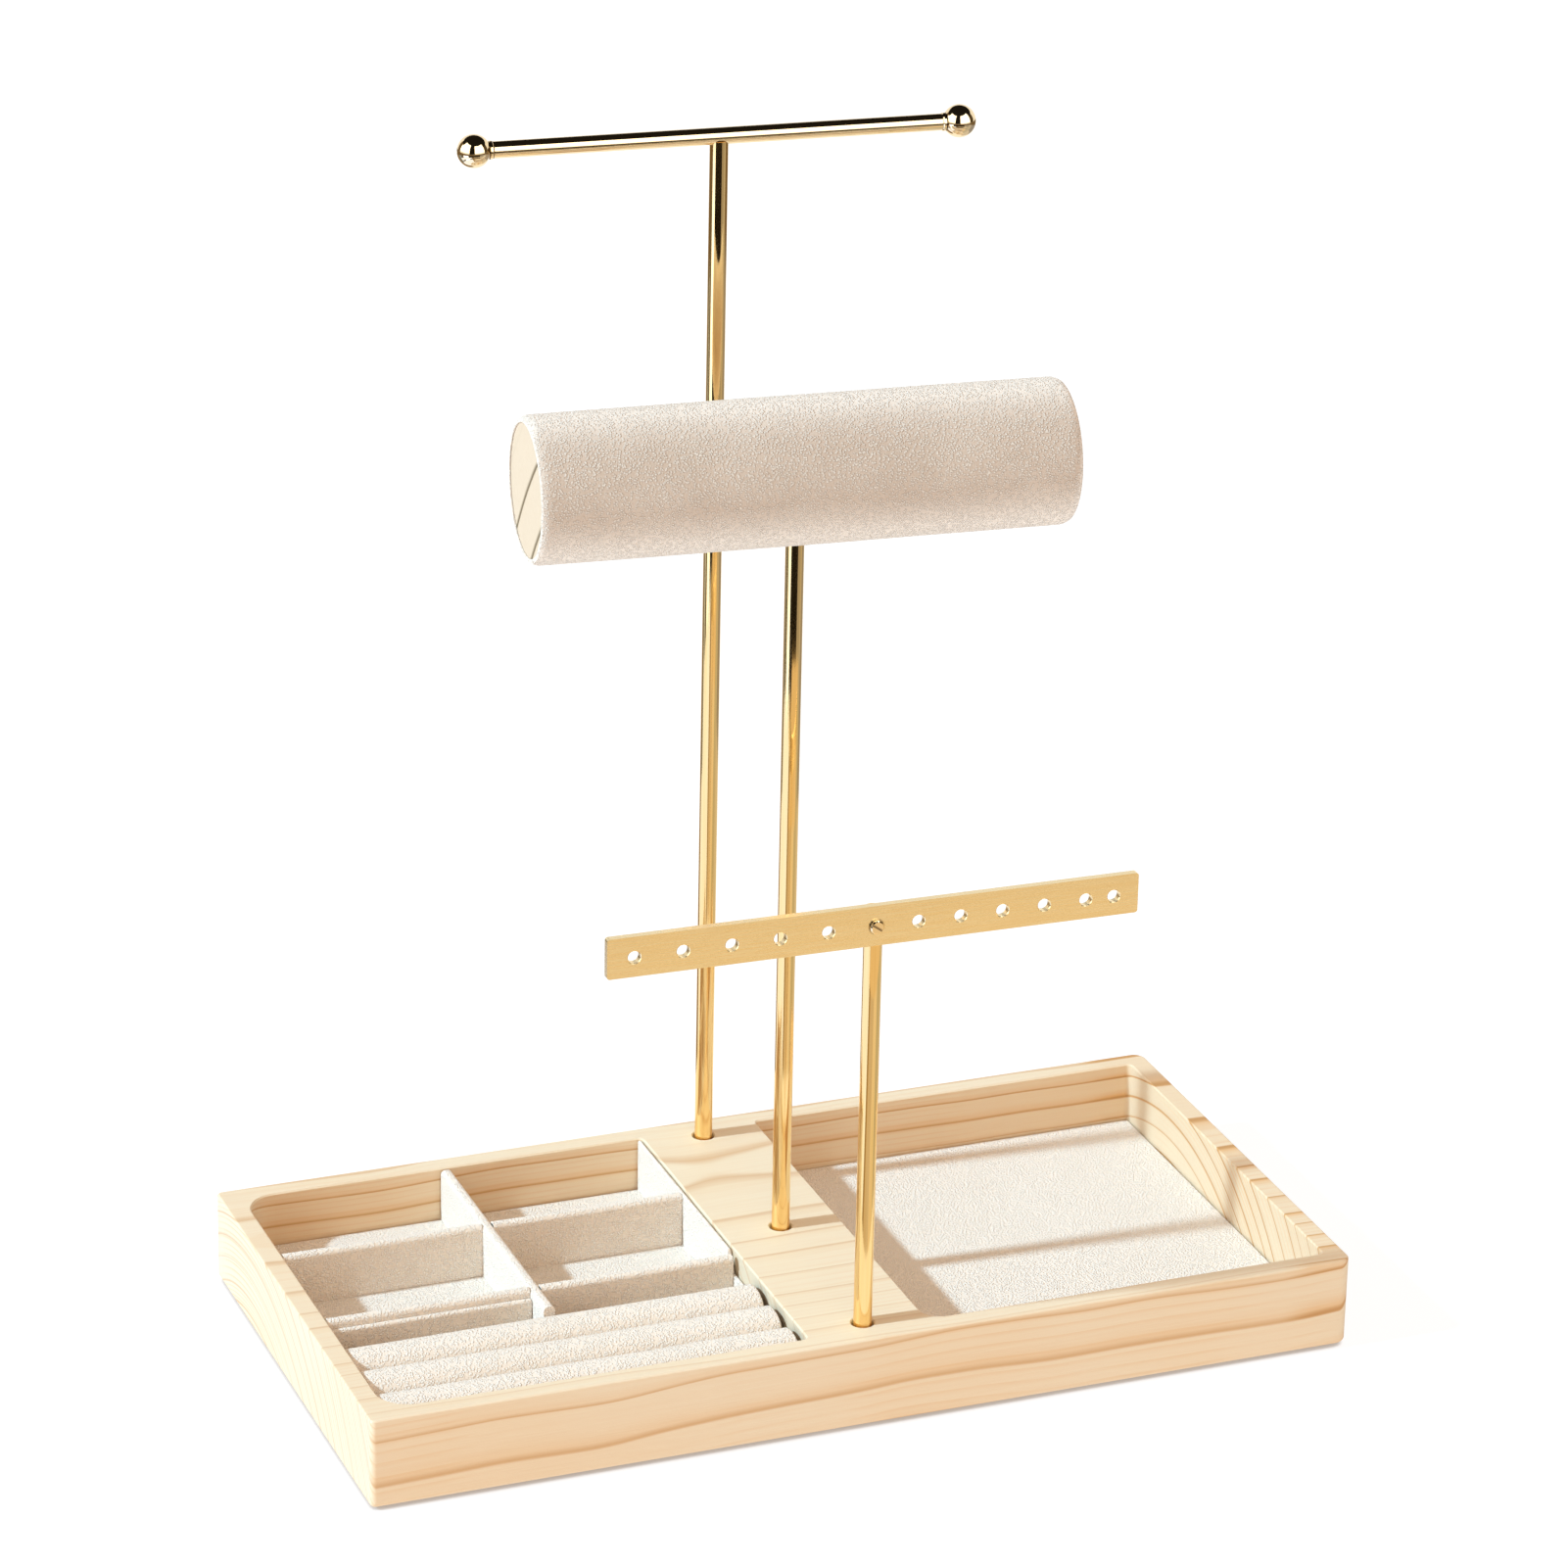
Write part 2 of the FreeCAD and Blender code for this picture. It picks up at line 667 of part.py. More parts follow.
def ring_roll_profile(front, back, bottom, top, x):
    """Arched cross-section of a ring roll: flat foot, straight sides, round top."""
    radius = (back - front) / 2
    middle = (back + front) / 2
    low_front = V(x, front, bottom)
    low_back = V(x, back, bottom)
    high_back = V(x, back, top - radius)
    high_front = V(x, front, top - radius)
    arch = Part.Arc(high_back, V(x, middle, top), high_front).toShape()
    sides = [Part.makeLine(low_front, low_back), Part.makeLine(low_back, high_back), arch,
             Part.makeLine(high_front, low_front)]
    return Part.Face(Part.Wire(sides))


def ring_roll_front(index):
    """Front face of a ring roll, counted from the front of the insert."""
    return insert_front + index * roll_pitch


def ring_roll_body(index, inset):
    """Ring roll's form drawn in by inset, within the insert's rounded outline."""
    front = ring_roll_front(index) + inset
    back = ring_roll_front(index) + ring_roll_width - inset
    top = base_top - ring_roll_top_below_rim - inset
    face = ring_roll_profile(front, back, insert_standing, top, insert_left + inset)
    body = face.extrude(V(ring_rolls_right - insert_left - 2 * inset, 0, 0))
    return body.common(insert_outline(ring_rolls_right, insert_standing, top, inset))


def make_ring_roll_foam(index):
    """Foam core of one ring roll."""
    return ring_roll_body(index, ring_roll_velvet_thickness)


def make_ring_roll_velvet(index):
    """Velvet wrapped over one ring roll and tucked over both of its ends."""
    return ring_roll_body(index, 0).cut(make_ring_roll_foam(index))


# ----------------------------------------------------------------- right pad
pad_left = half_land + pad_clearance
pad_right = pocket_far_side - pad_clearance
pad_front = pocket_front + pad_clearance
pad_back = pocket_back - pad_clearance
pad_board_top = pocket_floor + pad_board_thickness


def pad_layer(bottom, top):
    """One layer of the pad, cut to the right pocket's plan."""
    return rounded_block(pad_left, pad_right, pad_front, pad_back, bottom, top,
                         right_pocket_corners, pad_clearance)


def make_pad_board():
    """Card under the right pocket's velvet."""
    return pad_layer(pocket_floor, pad_board_top)


def make_pad_velvet():
    """Velvet glued on the card of the right pocket."""
    return pad_layer(pad_board_top, pad_board_top + pad_velvet_thickness)


# --------------------------------------------------------------------- nodes
nodes = {
    "tray_base": make_tray_base(),
    "felt_pads": make_felt_pads(),
    "post_washers": make_post_washers(),
    "necklace_post": make_necklace_post(),
    "necklace_post_screw": turned(make_post_screw(rear_post_y), necklace_turn_angle, rear_post_y),
    "necklace_crossbar": make_necklace_crossbar(),
    "left_ball_finial": make_ball_finial(-1),
    "right_ball_finial": make_ball_finial(1),
    "bracelet_post": make_bracelet_post(),
    "bracelet_post_screw": turned(make_post_screw(middle_post_y), roll_turn_angle, middle_post_y),
    "roll_block": make_roll_block(),
    "roll_tube": make_roll_tube(),
    "roll_foam": make_roll_foam(),
    "roll_velvet": make_roll_velvet(),
    "roll_left_cap": make_roll_cap(-1),
    "roll_right_cap": make_roll_cap(1),
    "earring_post": make_earring_post(),
    "earring_post_screw": turned(make_post_screw(front_post_y), earring_turn_angle, front_post_y),
    "earring_bar": make_earring_bar(),
    "earring_bar_screw": make_earring_bar_screw(),
    "insert_board": make_insert_board(),
    "insert_lining": make_insert_lining(),
    "long_divider_board": make_long_divider_board(),
    "long_divider_velvet": make_long_divider_velvet(),
    "rear_divider_board": make_cross_board(rear_divider_y),
    "rear_left_divider_velvet": make_left_cross_velvet(rear_divider_y),
    "rear_right_divider_velvet": make_right_cross_velvet(rear_divider_y),
    "front_divider_board": make_cross_board(front_divider_y),
    "front_left_divider_velvet": make_left_cross_velvet(front_divider_y),
    "front_right_divider_velvet": make_right_cross_velvet(front_divider_y),
    "front_left_strip": make_front_strip(),
    "right_side_strip": make_side_strip(),
    "pad_board": make_pad_board(),
    "pad_velvet": make_pad_velvet(),
}

roll_places = ("front", "middle", "rear")
for index in range(ring_roll_count):
    place = roll_places[index] if index < len(roll_places) else "extra_%d" % index
    nodes["%s_ring_roll_foam" % place] = make_ring_roll_foam(index)
    nodes["%s_ring_roll_velvet" % place] = make_ring_roll_velvet(index)

os.makedirs("parts", exist_ok=True)
for name, shape in nodes.items():
    shape.exportStep("parts/%s.step" % name)
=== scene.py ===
"""Jewellery stand of pine, brass and velvet: its dressed pieces, studio and camera."""
import logging
import math
from dataclasses import dataclass
from enum import Enum
from typing import Optional, Sequence

import bpy
import numpy as np
from mathutils import Matrix, Vector


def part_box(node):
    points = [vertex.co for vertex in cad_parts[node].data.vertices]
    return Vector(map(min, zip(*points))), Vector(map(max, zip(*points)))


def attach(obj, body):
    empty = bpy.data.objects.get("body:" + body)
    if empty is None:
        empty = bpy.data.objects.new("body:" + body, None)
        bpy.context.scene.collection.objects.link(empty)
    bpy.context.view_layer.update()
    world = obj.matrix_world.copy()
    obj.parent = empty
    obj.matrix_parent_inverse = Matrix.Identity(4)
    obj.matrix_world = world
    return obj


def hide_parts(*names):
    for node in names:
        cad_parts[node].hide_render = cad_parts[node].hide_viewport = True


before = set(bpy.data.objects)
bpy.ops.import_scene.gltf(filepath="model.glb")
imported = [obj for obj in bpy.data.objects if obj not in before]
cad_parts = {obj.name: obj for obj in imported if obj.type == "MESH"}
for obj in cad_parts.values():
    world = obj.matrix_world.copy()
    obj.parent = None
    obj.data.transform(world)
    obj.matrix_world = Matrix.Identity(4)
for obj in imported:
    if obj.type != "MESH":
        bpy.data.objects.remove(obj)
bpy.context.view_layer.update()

log = logging.getLogger("jewellery_stand")
MM = 0.001
CREASE_SAMPLES = 12
WAVE_COUNT = 8
CARD_STEPS = 33

Colour = tuple[float, float, float]
Socket = bpy.types.NodeSocket


# ------------------------------------------------------------------ shader bench
class Bench:
    """A node tree that is being wired up."""

    def __init__(self, tree: bpy.types.NodeTree) -> None:
        """Start work on a tree.

        Args:
            tree: the tree that gets the nodes.
        """
        self.tree = tree

    def feed(self, socket: Socket, value: object) -> None:
        """Link a socket, or set its default.

        Args:
            socket: the input to feed.
            value: another node's output socket, a number, a colour or a vector.
        """
        if isinstance(value, bpy.types.NodeSocket):
            self.tree.links.new(value, socket)
        elif socket.type == "RGBA":
            socket.default_value = (*value, 1.0)[:4]
        else:
            socket.default_value = value

    def fill(self, node: bpy.types.Node, **inputs: object) -> bpy.types.Node:
        """Feed several inputs of a node.

        Args:
            node: the node.
            inputs: values for its inputs, with underscores for spaces.

        Returns:
            The same node.
        """
        for name, value in inputs.items():
            self.feed(node.inputs[name.replace("_", " ")], value)
        return node

    def add(self, kind: str, settings: Optional[dict] = None, **inputs: object) -> bpy.types.Node:
        """Add a node.

        Args:
            kind: the node's type without the ShaderNode prefix.
            settings: attributes to set on the node.
            inputs: values for its inputs, with underscores for spaces.

        Returns:
            The new node.
        """
        node = self.tree.nodes.new("ShaderNode" + kind)
        for name, value in (settings or {}).items():
            setattr(node, name, value)
        return self.fill(node, **inputs)

    def maths(self, operation: str, *values: object, clamp: bool = False) -> Socket:
        """Put up to three values through a Math node.

        Args:
            operation: the Math node's operation.
            values: its inputs in order.
            clamp: whether the result stays between 0 and 1.

        Returns:
            The result's socket.
        """
        node = self.add("Math", {"operation": operation, "use_clamp": clamp})
        for socket, value in zip(node.inputs, values):
            self.feed(socket, value)
        return node.outputs[0]

    def plus(self, first: object, second: object, clamp: bool = False) -> Socket:
        """Sum of two values."""
        return self.maths("ADD", first, second, clamp=clamp)

    def minus(self, first: object, second: object, clamp: bool = False) -> Socket:
        """The first value less the second."""
        return self.maths("SUBTRACT", first, second, clamp=clamp)

    def times(self, first: object, second: object, clamp: bool = False) -> Socket:
        """Product of two values."""
        return self.maths("MULTIPLY", first, second, clamp=clamp)

    def split(self, vector: object) -> tuple[Socket, Socket, Socket]:
        """Take a vector apart into its X, Y and Z sockets."""
        return tuple(self.add("SeparateXYZ", Vector=vector).outputs)

    def join(self, x: object, y: object, z: object) -> Socket:
        """Make a vector of three values."""
        return self.add("CombineXYZ", X=x, Y=y, Z=z).outputs[0]

    def stretch(self, vector: Socket, scale: object) -> Socket:
        """Multiply a vector by three factors.

        Args:
            vector: the vector's socket.
            scale: the factor along each axis, or a vector's socket.

        Returns:
            The stretched vector's socket.
        """
        node = self.add("VectorMath", {"operation": "MULTIPLY"})
        self.feed(node.inputs[0], vector)
        self.feed(node.inputs[1], scale)
        return node.outputs[0]

    def noise(self, vector: object, scale: object, detail: float = 2.0,
              roughness: float = 0.5, output: str = "Fac") -> Socket:
        """Noise read at a vector, at a scale per metre; detail counts its finer octaves."""
        node = self.add("TexNoise", Vector=vector, Scale=scale, Detail=detail, Roughness=roughness)
        return node.outputs[output]

    def span(self, value: object, low: float, high: float, start: object = 0.0,
             end: object = 1.0) -> Socket:
        """Map a value that runs from low to high smoothly on start to end."""
        node = self.add("MapRange", {"interpolation_type": "SMOOTHSTEP"}, Value=value,
                        From_Min=low, From_Max=high, To_Min=start, To_Max=end)
        return node.outputs["Result"]

    def tint(self, factor: object, low: object, high: object, mode: str = "MIX") -> Socket:
        """Blend two colours.

        Args:
            factor: how much of the second colour shows.
            low: the first colour.
            high: the second colour.
            mode: the Mix node's blend type.

        Returns:
            The blended colour's socket.
        """
        node = self.add("Mix", {"data_type": "RGBA", "blend_type": mode})
        self.feed(node.inputs["Factor"], factor)
        colours = [socket for socket in node.inputs if socket.type == "RGBA"]
        self.feed(colours[0], low)
        self.feed(colours[1], high)
        return [socket for socket in node.outputs if socket.type == "RGBA"][0]

    def bump(self, height: object, distance: float, strength: float) -> Socket:
        """Turn a height of 0 to 1 into a normal; a height of 1 stands for distance in metres."""
        node = self.add("Bump", Strength=strength, Distance=distance, Height=height)
        return node.outputs["Normal"]

    def place(self) -> Socket:
        """Object coordinates of the piece that is shaded."""
        return self.add("TexCoord").outputs["Object"]

    def facing(self) -> tuple[Socket, Socket]:
        """How far a face looks up, and how far along X either way, both 0 to 1."""
        x, _, z = self.split(self.add("TexCoord").outputs["Normal"])
        return self.maths("MAXIMUM", z, 0.0), self.times(x, x)

    def creases(self, reach: float) -> Socket:
        """Openness of a place: 1 in the open, less where things within reach crowd it."""
        node = self.add("AmbientOcclusion", {"samples": CREASE_SAMPLES}, Distance=reach)
        return node.outputs["AO"]

    def group(self, tree: bpy.types.NodeTree, **inputs: object) -> bpy.types.bpy_prop_collection:
        """Add a node group with its own input values, and give its outputs."""
        return self.add("Group", {"node_tree": tree}, **inputs).outputs


def new_group(name: str, inputs: dict,
              outputs: Sequence[str]) -> tuple[Bench, bpy.types.Node, bpy.types.Node]:
    """Open a new shader node group.

    Args:
        name: the group's name.
        inputs: its input names and default values; a three-part default makes a vector.
        outputs: its output names, all values.

    Returns:
        The bench to wire it on, its input node and its output node.
    """
    tree = bpy.data.node_groups.new(name, "ShaderNodeTree")
    for key, value in inputs.items():
        kind = "NodeSocketVector" if isinstance(value, tuple) else "NodeSocketFloat"
        socket = tree.interface.new_socket(name=key, in_out="INPUT", socket_type=kind)
        socket.default_value = value
    for key in outputs:
        tree.interface.new_socket(name=key, in_out="OUTPUT", socket_type="NodeSocketFloat")
    return Bench(tree), tree.nodes.new("NodeGroupInput"), tree.nodes.new("NodeGroupOutput")


def growth_rings() -> bpy.types.NodeTree:
    """Growth rings of a board that was sawn along X.

    A point's ring number is its distance from the pith line over the ring spacing.
    The distance wanders slowly along the board, and the rings are unevenly wide.
    Each ring has a thin dark core where it starts and a glow that fades beyond it.
    Past the sapwood distance the rings are faint. Hairlines are a finer, weaker set.

    Returns:
        The node group, with the outputs Core, Glow, Hairline and Drift.
    """
    bench, given, result = new_group(
        "growth_rings",
        {"Vector": (0.0, 0.0, 0.0), "Pith Y": 0.0, "Pith Z": 0.0, "Spacing": 0.005,
         "Wander": 0.003, "Along": 9.0, "Fade": 0.4, "Core Width": 0.08, "Unevenness": 1.0,
         "Sapwood": 9.0, "Evenness": 0.0},
        ("Core", "Glow", "Hairline", "Drift"))
    wander_across, change_per_ring, faint_share = 6.0, 0.35, 0.04
    hairs_per_ring, patch_scale = 3.7, 1.7
    x, y, z = bench.split(given.outputs["Vector"])
    reach = bench.join(bench.times(x, given.outputs["Along"]), bench.times(y, wander_across),
                       bench.times(z, wander_across))
    wave_y, wave_z, drift = bench.split(bench.noise(reach, 1.0, 2.0, 0.45, "Color"))
    squares = []
    for place, wave, pith in ((y, wave_y, "Pith Y"), (z, wave_z, "Pith Z")):
        offset = bench.times(bench.minus(wave, 0.5), given.outputs["Wander"])
        away = bench.plus(bench.minus(place, given.outputs[pith]), offset)
        squares.append(bench.times(away, away))
    distance = bench.maths("SQRT", bench.plus(*squares))
    even = bench.maths("DIVIDE", distance, given.outputs["Spacing"])
    uneven = bench.noise(bench.join(bench.times(even, change_per_ring), 0.0, 0.0), 1.0, 1.0)
    ring = bench.plus(even, bench.times(uneven, given.outputs["Unevenness"]))
    within, number = bench.maths("FRACT", ring), bench.maths("FLOOR", ring)
    chance = bench.add("TexWhiteNoise", {"noise_dimensions": "1D"}, W=number).outputs["Value"]
    strength = bench.maths("MAXIMUM", bench.span(chance, 0.0, 0.7, 0.3, 1.0),
                           given.outputs["Evenness"])
    inner = bench.maths("LESS_THAN", distance, given.outputs["Sapwood"])
    share = bench.times(strength, bench.maths("MAXIMUM", inner, faint_share))
    spent = bench.maths("DIVIDE", within, given.outputs["Fade"], clamp=True)
    fading = bench.maths("POWER", bench.minus(1.0, spent), 1.5)
    thin = bench.minus(1.0, bench.maths("DIVIDE", within, given.outputs["Core Width"]), clamp=True)
    edge = bench.span(within, 0.94, 1.0)
    fine = bench.maths("FRACT", bench.times(ring, hairs_per_ring))
    hair = bench.times(bench.span(fine, 0.55, 0.95), bench.span(fine, 0.96, 1.0, 1.0, 0.0))
    patch = bench.span(bench.noise(reach, patch_scale, 2.0), 0.42, 0.62)
    bench.fill(result, Core=bench.times(bench.maths("MAXIMUM", thin, edge), share),
               Glow=bench.times(bench.maths("MAXIMUM", fading, edge), share),
               Hairline=bench.times(hair, patch), Drift=drift)
    return bench.tree


def wood_fibre() -> bpy.types.NodeTree:
    """Fine fibres that run along X: streaks on the faces, dots on the end grain.

    Returns:
        The node group, with the outputs Streak and Pore.
    """
    bench, given, result = new_group("wood_fibre", {"Vector": (0.0, 0.0, 0.0)}, ("Streak", "Pore"))
    streak_grain, pore_grain = (22.0, 900.0, 900.0), (90.0, 3200.0, 3200.0)
    vector = given.outputs["Vector"]
    streak = bench.noise(bench.stretch(vector, streak_grain), 1.0, 3.0, 0.6)
    pore = bench.noise(bench.stretch(vector, pore_grain), 1.0, 2.0, 0.6)
    bench.fill(result, Streak=streak, Pore=bench.span(pore, 0.35, 0.62))
    return bench.tree


def velvet_pile() -> bpy.types.NodeTree:
    """Short suede-like pile: small pebbles, single tufts and slow crushed patches.

    Returns:
        The node group, with the outputs Pebble, Tuft and Crush.
    """
    bench, given, result = new_group(
        "velvet_pile", {"Vector": (0.0, 0.0, 0.0), "Pebble Size": 0.0009},
        ("Pebble", "Tuft", "Crush"))
    grain_often, grain_share, tuft_often, crush_scale = 1.7, 0.3, 3.2, 38.0
    vector = given.outputs["Vector"]
    often = bench.maths("DIVIDE", 1.0, given.outputs["Pebble Size"])
    cells = bench.add("TexVoronoi", {"feature": "F1"}, Vector=vector, Scale=often, Randomness=0.95)
    grain = bench.noise(vector, bench.times(often, grain_often), 2.0, 0.55)
    dome = bench.span(cells.outputs["Distance"], 0.10, 0.72, 1.0, 0.0)
    pebble = bench.plus(bench.times(dome, 1.0 - grain_share), bench.times(grain, grain_share))
    crush = bench.noise(vector, crush_scale, 3.0, 0.55)
    bench.fill(result, Pebble=bench.span(pebble, 0.22, 0.80),
               Tuft=bench.noise(vector, bench.times(often, tuft_often), 1.0),
               Crush=bench.span(crush, 0.3, 0.7))
    return bench.tree


def brushed_lines() -> bpy.types.NodeTree:
    """Fine lines left by a brush, drawn out along one direction.

    Returns:
        The node group, with the outputs Line and Cloud.
    """
    bench, given, result = new_group(
        "brushed_lines", {"Vector": (0.0, 0.0, 0.0), "Stretch": (1.0, 1.0, 1.0)}, ("Line", "Cloud"))
    cloud_scale = 55.0
    vector = given.outputs["Vector"]
    lines = bench.stretch(vector, given.outputs["Stretch"])
    bench.fill(result, Line=bench.noise(lines, 1.0, 3.0, 0.65),
               Cloud=bench.noise(vector, cloud_scale, 2.0, 0.5))
    return bench.tree


class Effects:
    """The shared node groups, each built once."""

    def __init__(self) -> None:
        """Build all the groups."""
        self.rings = growth_rings()
        self.fibre = wood_fibre()
        self.pile = velvet_pile()
        self.brushed = brushed_lines()


def open_material(name: str, kind: str = "BsdfPrincipled"
                  ) -> tuple[bpy.types.Material, Bench, bpy.types.Node]:
    """Make a material of one shader.

    Args:
        name: the material's name.
        kind: the shader node's type without the ShaderNode prefix.

    Returns:
        The material, a bench on its tree and its shader node.
    """
    material = bpy.data.materials.new(name)
    material.use_nodes = True
    material.node_tree.nodes.clear()
    bench = Bench(material.node_tree)
    shader = bench.add(kind)
    bench.add("OutputMaterial", Surface=shader.outputs[0])
    return material, bench, shader


# ---------------------------------------------------------------------- finishes
@dataclass(frozen=True)
class Wood:
    """Oiled softwood with growth rings round a pith line that runs along X."""

    name: str
    early: Colour
    warm: Colour
    glow: Colour
    core: Colour
    pith: tuple[float, float]
    spacing: float
    wander: float
    along: float = 9.0
    fade: float = 0.42
    core_width: float = 0.10
    unevenness: float = 1.4
    sapwood: float = 9.0
    evenness: float = 0.0
    roughness: float = 0.5
    # Painted light: top and its share make up-facing faces paler with calmer grain; end and its
    # share grey the faces along X, partly end grain's own tone, partly painted shade.
    top: Colour = (0.905, 0.82, 0.66)
    painted_top_light_share: float = 0.50
    end: Colour = (0.70, 0.66, 0.54)
    end_grain_and_shade_share: float = 0.60
    lively: float = 0.118
    lively_blend: float = 0.012
    lively_warmth: float = 0.18
    glow_share: float = 0.75
    core_share: float = 0.95
    hair_share: float = 0.3
    hair_end_share: float = 0.8
    streak_share: float = 0.07
    streak_gloss: float = 0.12
    pore_share: float = 0.06
    pore_height: float = 0.6
    specular: float = 0.35
    relief: float = 0.00006
    relief_strength: float = 0.5

    def material(self, effects: Effects) -> bpy.types.Material:
        """Build the wood's material: paler and calmer on top, which is painted light, and greyer on
        the end grain, partly its own end grain tone and partly painted shade.

        Past the X called lively the growth lines are bolder again and the wood warmer.

        Args:
            effects: the shared node groups.

        Returns:
            The material.
        """
        material, bench, shader = open_material(self.name)
        place = bench.place()
        up, along = bench.facing()
        # Painted light on faces that look up; end grain tone with painted shade on faces along X.
        up_share = bench.times(up, self.painted_top_light_share)
        end_grain_and_shade_share = bench.times(along, self.end_grain_and_shade_share)
        quiet = bench.plus(up_share, bench.times(end_grain_and_shade_share, 0.5))
        lively = bench.span(bench.split(place)[0], self.lively, self.lively + self.lively_blend)
        bold = bench.plus(bench.minus(1.0, quiet), lively)
        spread = bench.times(bold, bench.maths("MINIMUM", bold, 1.0))
        warmth = bench.times(lively, bench.times(bench.plus(up, along), self.lively_warmth))
        rings = bench.group(effects.rings, Vector=place, Pith_Y=self.pith[0], Pith_Z=self.pith[1],
                            Spacing=self.spacing, Wander=self.wander, Along=self.along,
                            Fade=self.fade, Core_Width=self.core_width, Evenness=self.evenness,
                            Unevenness=self.unevenness, Sapwood=self.sapwood)
        fibre = bench.group(effects.fibre, Vector=place)
        plain = bench.tint(bench.span(rings["Drift"], 0.35, 0.65), self.early, self.warm)
        paler = bench.tint(end_grain_and_shade_share, bench.tint(up_share, plain, self.top), self.end)
        ground = bench.tint(warmth, paler, self.glow)
        line = bench.tint(end_grain_and_shade_share, self.glow, self.end)
        fine = bench.plus(bench.times(bold, self.hair_share),
                          bench.times(end_grain_and_shade_share, self.hair_end_share))
        haired = bench.tint(bench.times(rings["Hairline"], fine, clamp=True), ground, self.glow)
        glow = bench.times(bench.times(rings["Glow"], self.glow_share), spread, clamp=True)
        core = bench.times(bench.times(rings["Core"], self.core_share), bold, clamp=True)
        cored = bench.tint(core, bench.tint(glow, haired, line), self.core)
        streaked = bench.tint(bench.span(fibre["Streak"], 0.25, 0.75, 0.0, self.streak_share),
                              cored, self.glow, "MULTIPLY")
        colour = bench.tint(bench.times(fibre["Pore"], self.pore_share), streaked, self.glow)
        gloss = bench.plus(self.roughness, bench.times(fibre["Streak"], self.streak_gloss))
        relief = bench.plus(bench.times(fibre["Pore"], self.pore_height),
                            bench.times(rings["Glow"], 1.0 - self.pore_height))
        bench.fill(shader, Base_Color=colour, Roughness=gloss, Specular_IOR_Level=self.specular,
                   Normal=bench.bump(relief, self.relief, self.relief_strength))
        return material


class Brushing(Enum):
    """Which way a metal's brush lines run, as their frequency along each axis."""

    UP = (900.0, 900.0, 14.0)
    ACROSS = (22.0, 2600.0, 2600.0)
    ROUND = (160.0, 160.0, 160.0)


@dataclass(frozen=True)
class Metal:
    """Brushed or polished metal with fine lines and slightly cloudy gloss."""

    name: str
    colour: Colour
    shade: Colour
    roughness: float
    brushing: Brushing
    line_depth: float = 0.000004
    cloudiness: float = 0.08
    # crease and its colour paint shade into hollows, slots and joints.
    crease: float = 0.0
    crease_shade_colour: Colour = (0.16, 0.10, 0.05)
    line_gloss: float = 0.14
    line_strength: float = 0.6

    def material(self, effects: Effects) -> bpy.types.Material:
        """Build the metal's material.

        Args:
            effects: the shared node groups.

        Returns:
            The material.
        """
        material, bench, shader = open_material(self.name)
        brushed = bench.group(effects.brushed, Vector=bench.place(), Stretch=self.brushing.value)
        line, cloud = brushed["Line"], brushed["Cloud"]
        colour = bench.tint(bench.span(line, 0.3, 0.7), self.shade, self.colour)
        # Painted shade: where ambient occlusion finds surfaces within crease reach, as in holes,
        # slots and round the screw head, the colour darkens towards a dark brown.
        if self.crease:
            painted_crease_shade = bench.span(bench.creases(self.crease), 0.45, 0.95, 0.75, 0.0)
            colour = bench.tint(painted_crease_shade, colour, self.crease_shade_colour)
        spread = bench.plus(bench.times(bench.minus(cloud, 0.5), self.cloudiness),
                            bench.times(bench.minus(line, 0.5), self.line_gloss))
        bench.fill(shader, Base_Color=colour, Metallic=1.0,
                   Roughness=bench.plus(spread, self.roughness, clamp=True),
                   Normal=bench.bump(line, self.line_depth, self.line_strength))
        return material


@dataclass(frozen=True)
class Velvet:
    """Short pebbled velvet that brightens towards its edges, a painted sheen."""

    name: str
    light: Colour
    deep: Colour
    pebble: float = 0.0007
    sheen: float = 0.30
    sheen_roughness: float = 0.45
    relief: float = 0.00028
    crush: float = 0.15
    # rim and its share: the painted sheen's colour where faces turn away from view.
    rim: Colour = (1.0, 0.97, 0.93)
    painted_sheen_share: float = 0.30
    tuft_share: float = 0.10
    tuft_height: float = 0.35
    relief_strength: float = 0.9
    specular: float = 0.12
    sheen_tint: Colour = (1.0, 0.96, 0.92)

    def material(self, effects: Effects) -> bpy.types.Material:
        """Build the velvet's material.

        Args:
            effects: the shared node groups.

        Returns:
            The material.
        """
        material, bench, shader = open_material(self.name)
        pile = bench.group(effects.pile, Vector=bench.place(), Pebble_Size=self.pebble)
        pebble, tuft, crush = (pile[key] for key in ("Pebble", "Tuft", "Crush"))
        pits = bench.plus(bench.times(pebble, 1 - self.crush), bench.times(crush, self.crush))
        # Painted sheen: the colour is tinted towards rim where the face turns away from view.
        turned = bench.add("LayerWeight", Blend=0.5).outputs["Facing"]
        tone_with_painted_sheen = bench.tint(bench.span(turned, 0.0, 0.6, 0.0, self.painted_sheen_share),
                          bench.tint(pits, self.deep, self.light), self.rim)
        shaded = bench.span(tuft, 0.3, 0.7, 0.0, self.tuft_share)
        height = bench.plus(pebble, bench.times(tuft, self.tuft_height))
        bench.fill(shader, Base_Color=bench.tint(shaded, tone_with_painted_sheen, self.deep, "MULTIPLY"),
                   Roughness=bench.span(pebble, 0.0, 1.0, 0.98, 0.86),
                   Specular_IOR_Level=self.specular, Sheen_Weight=self.sheen,
                   Sheen_Roughness=self.sheen_roughness, Sheen_Tint=self.sheen_tint,
                   Normal=bench.bump(height, self.relief, self.relief_strength))
        return material


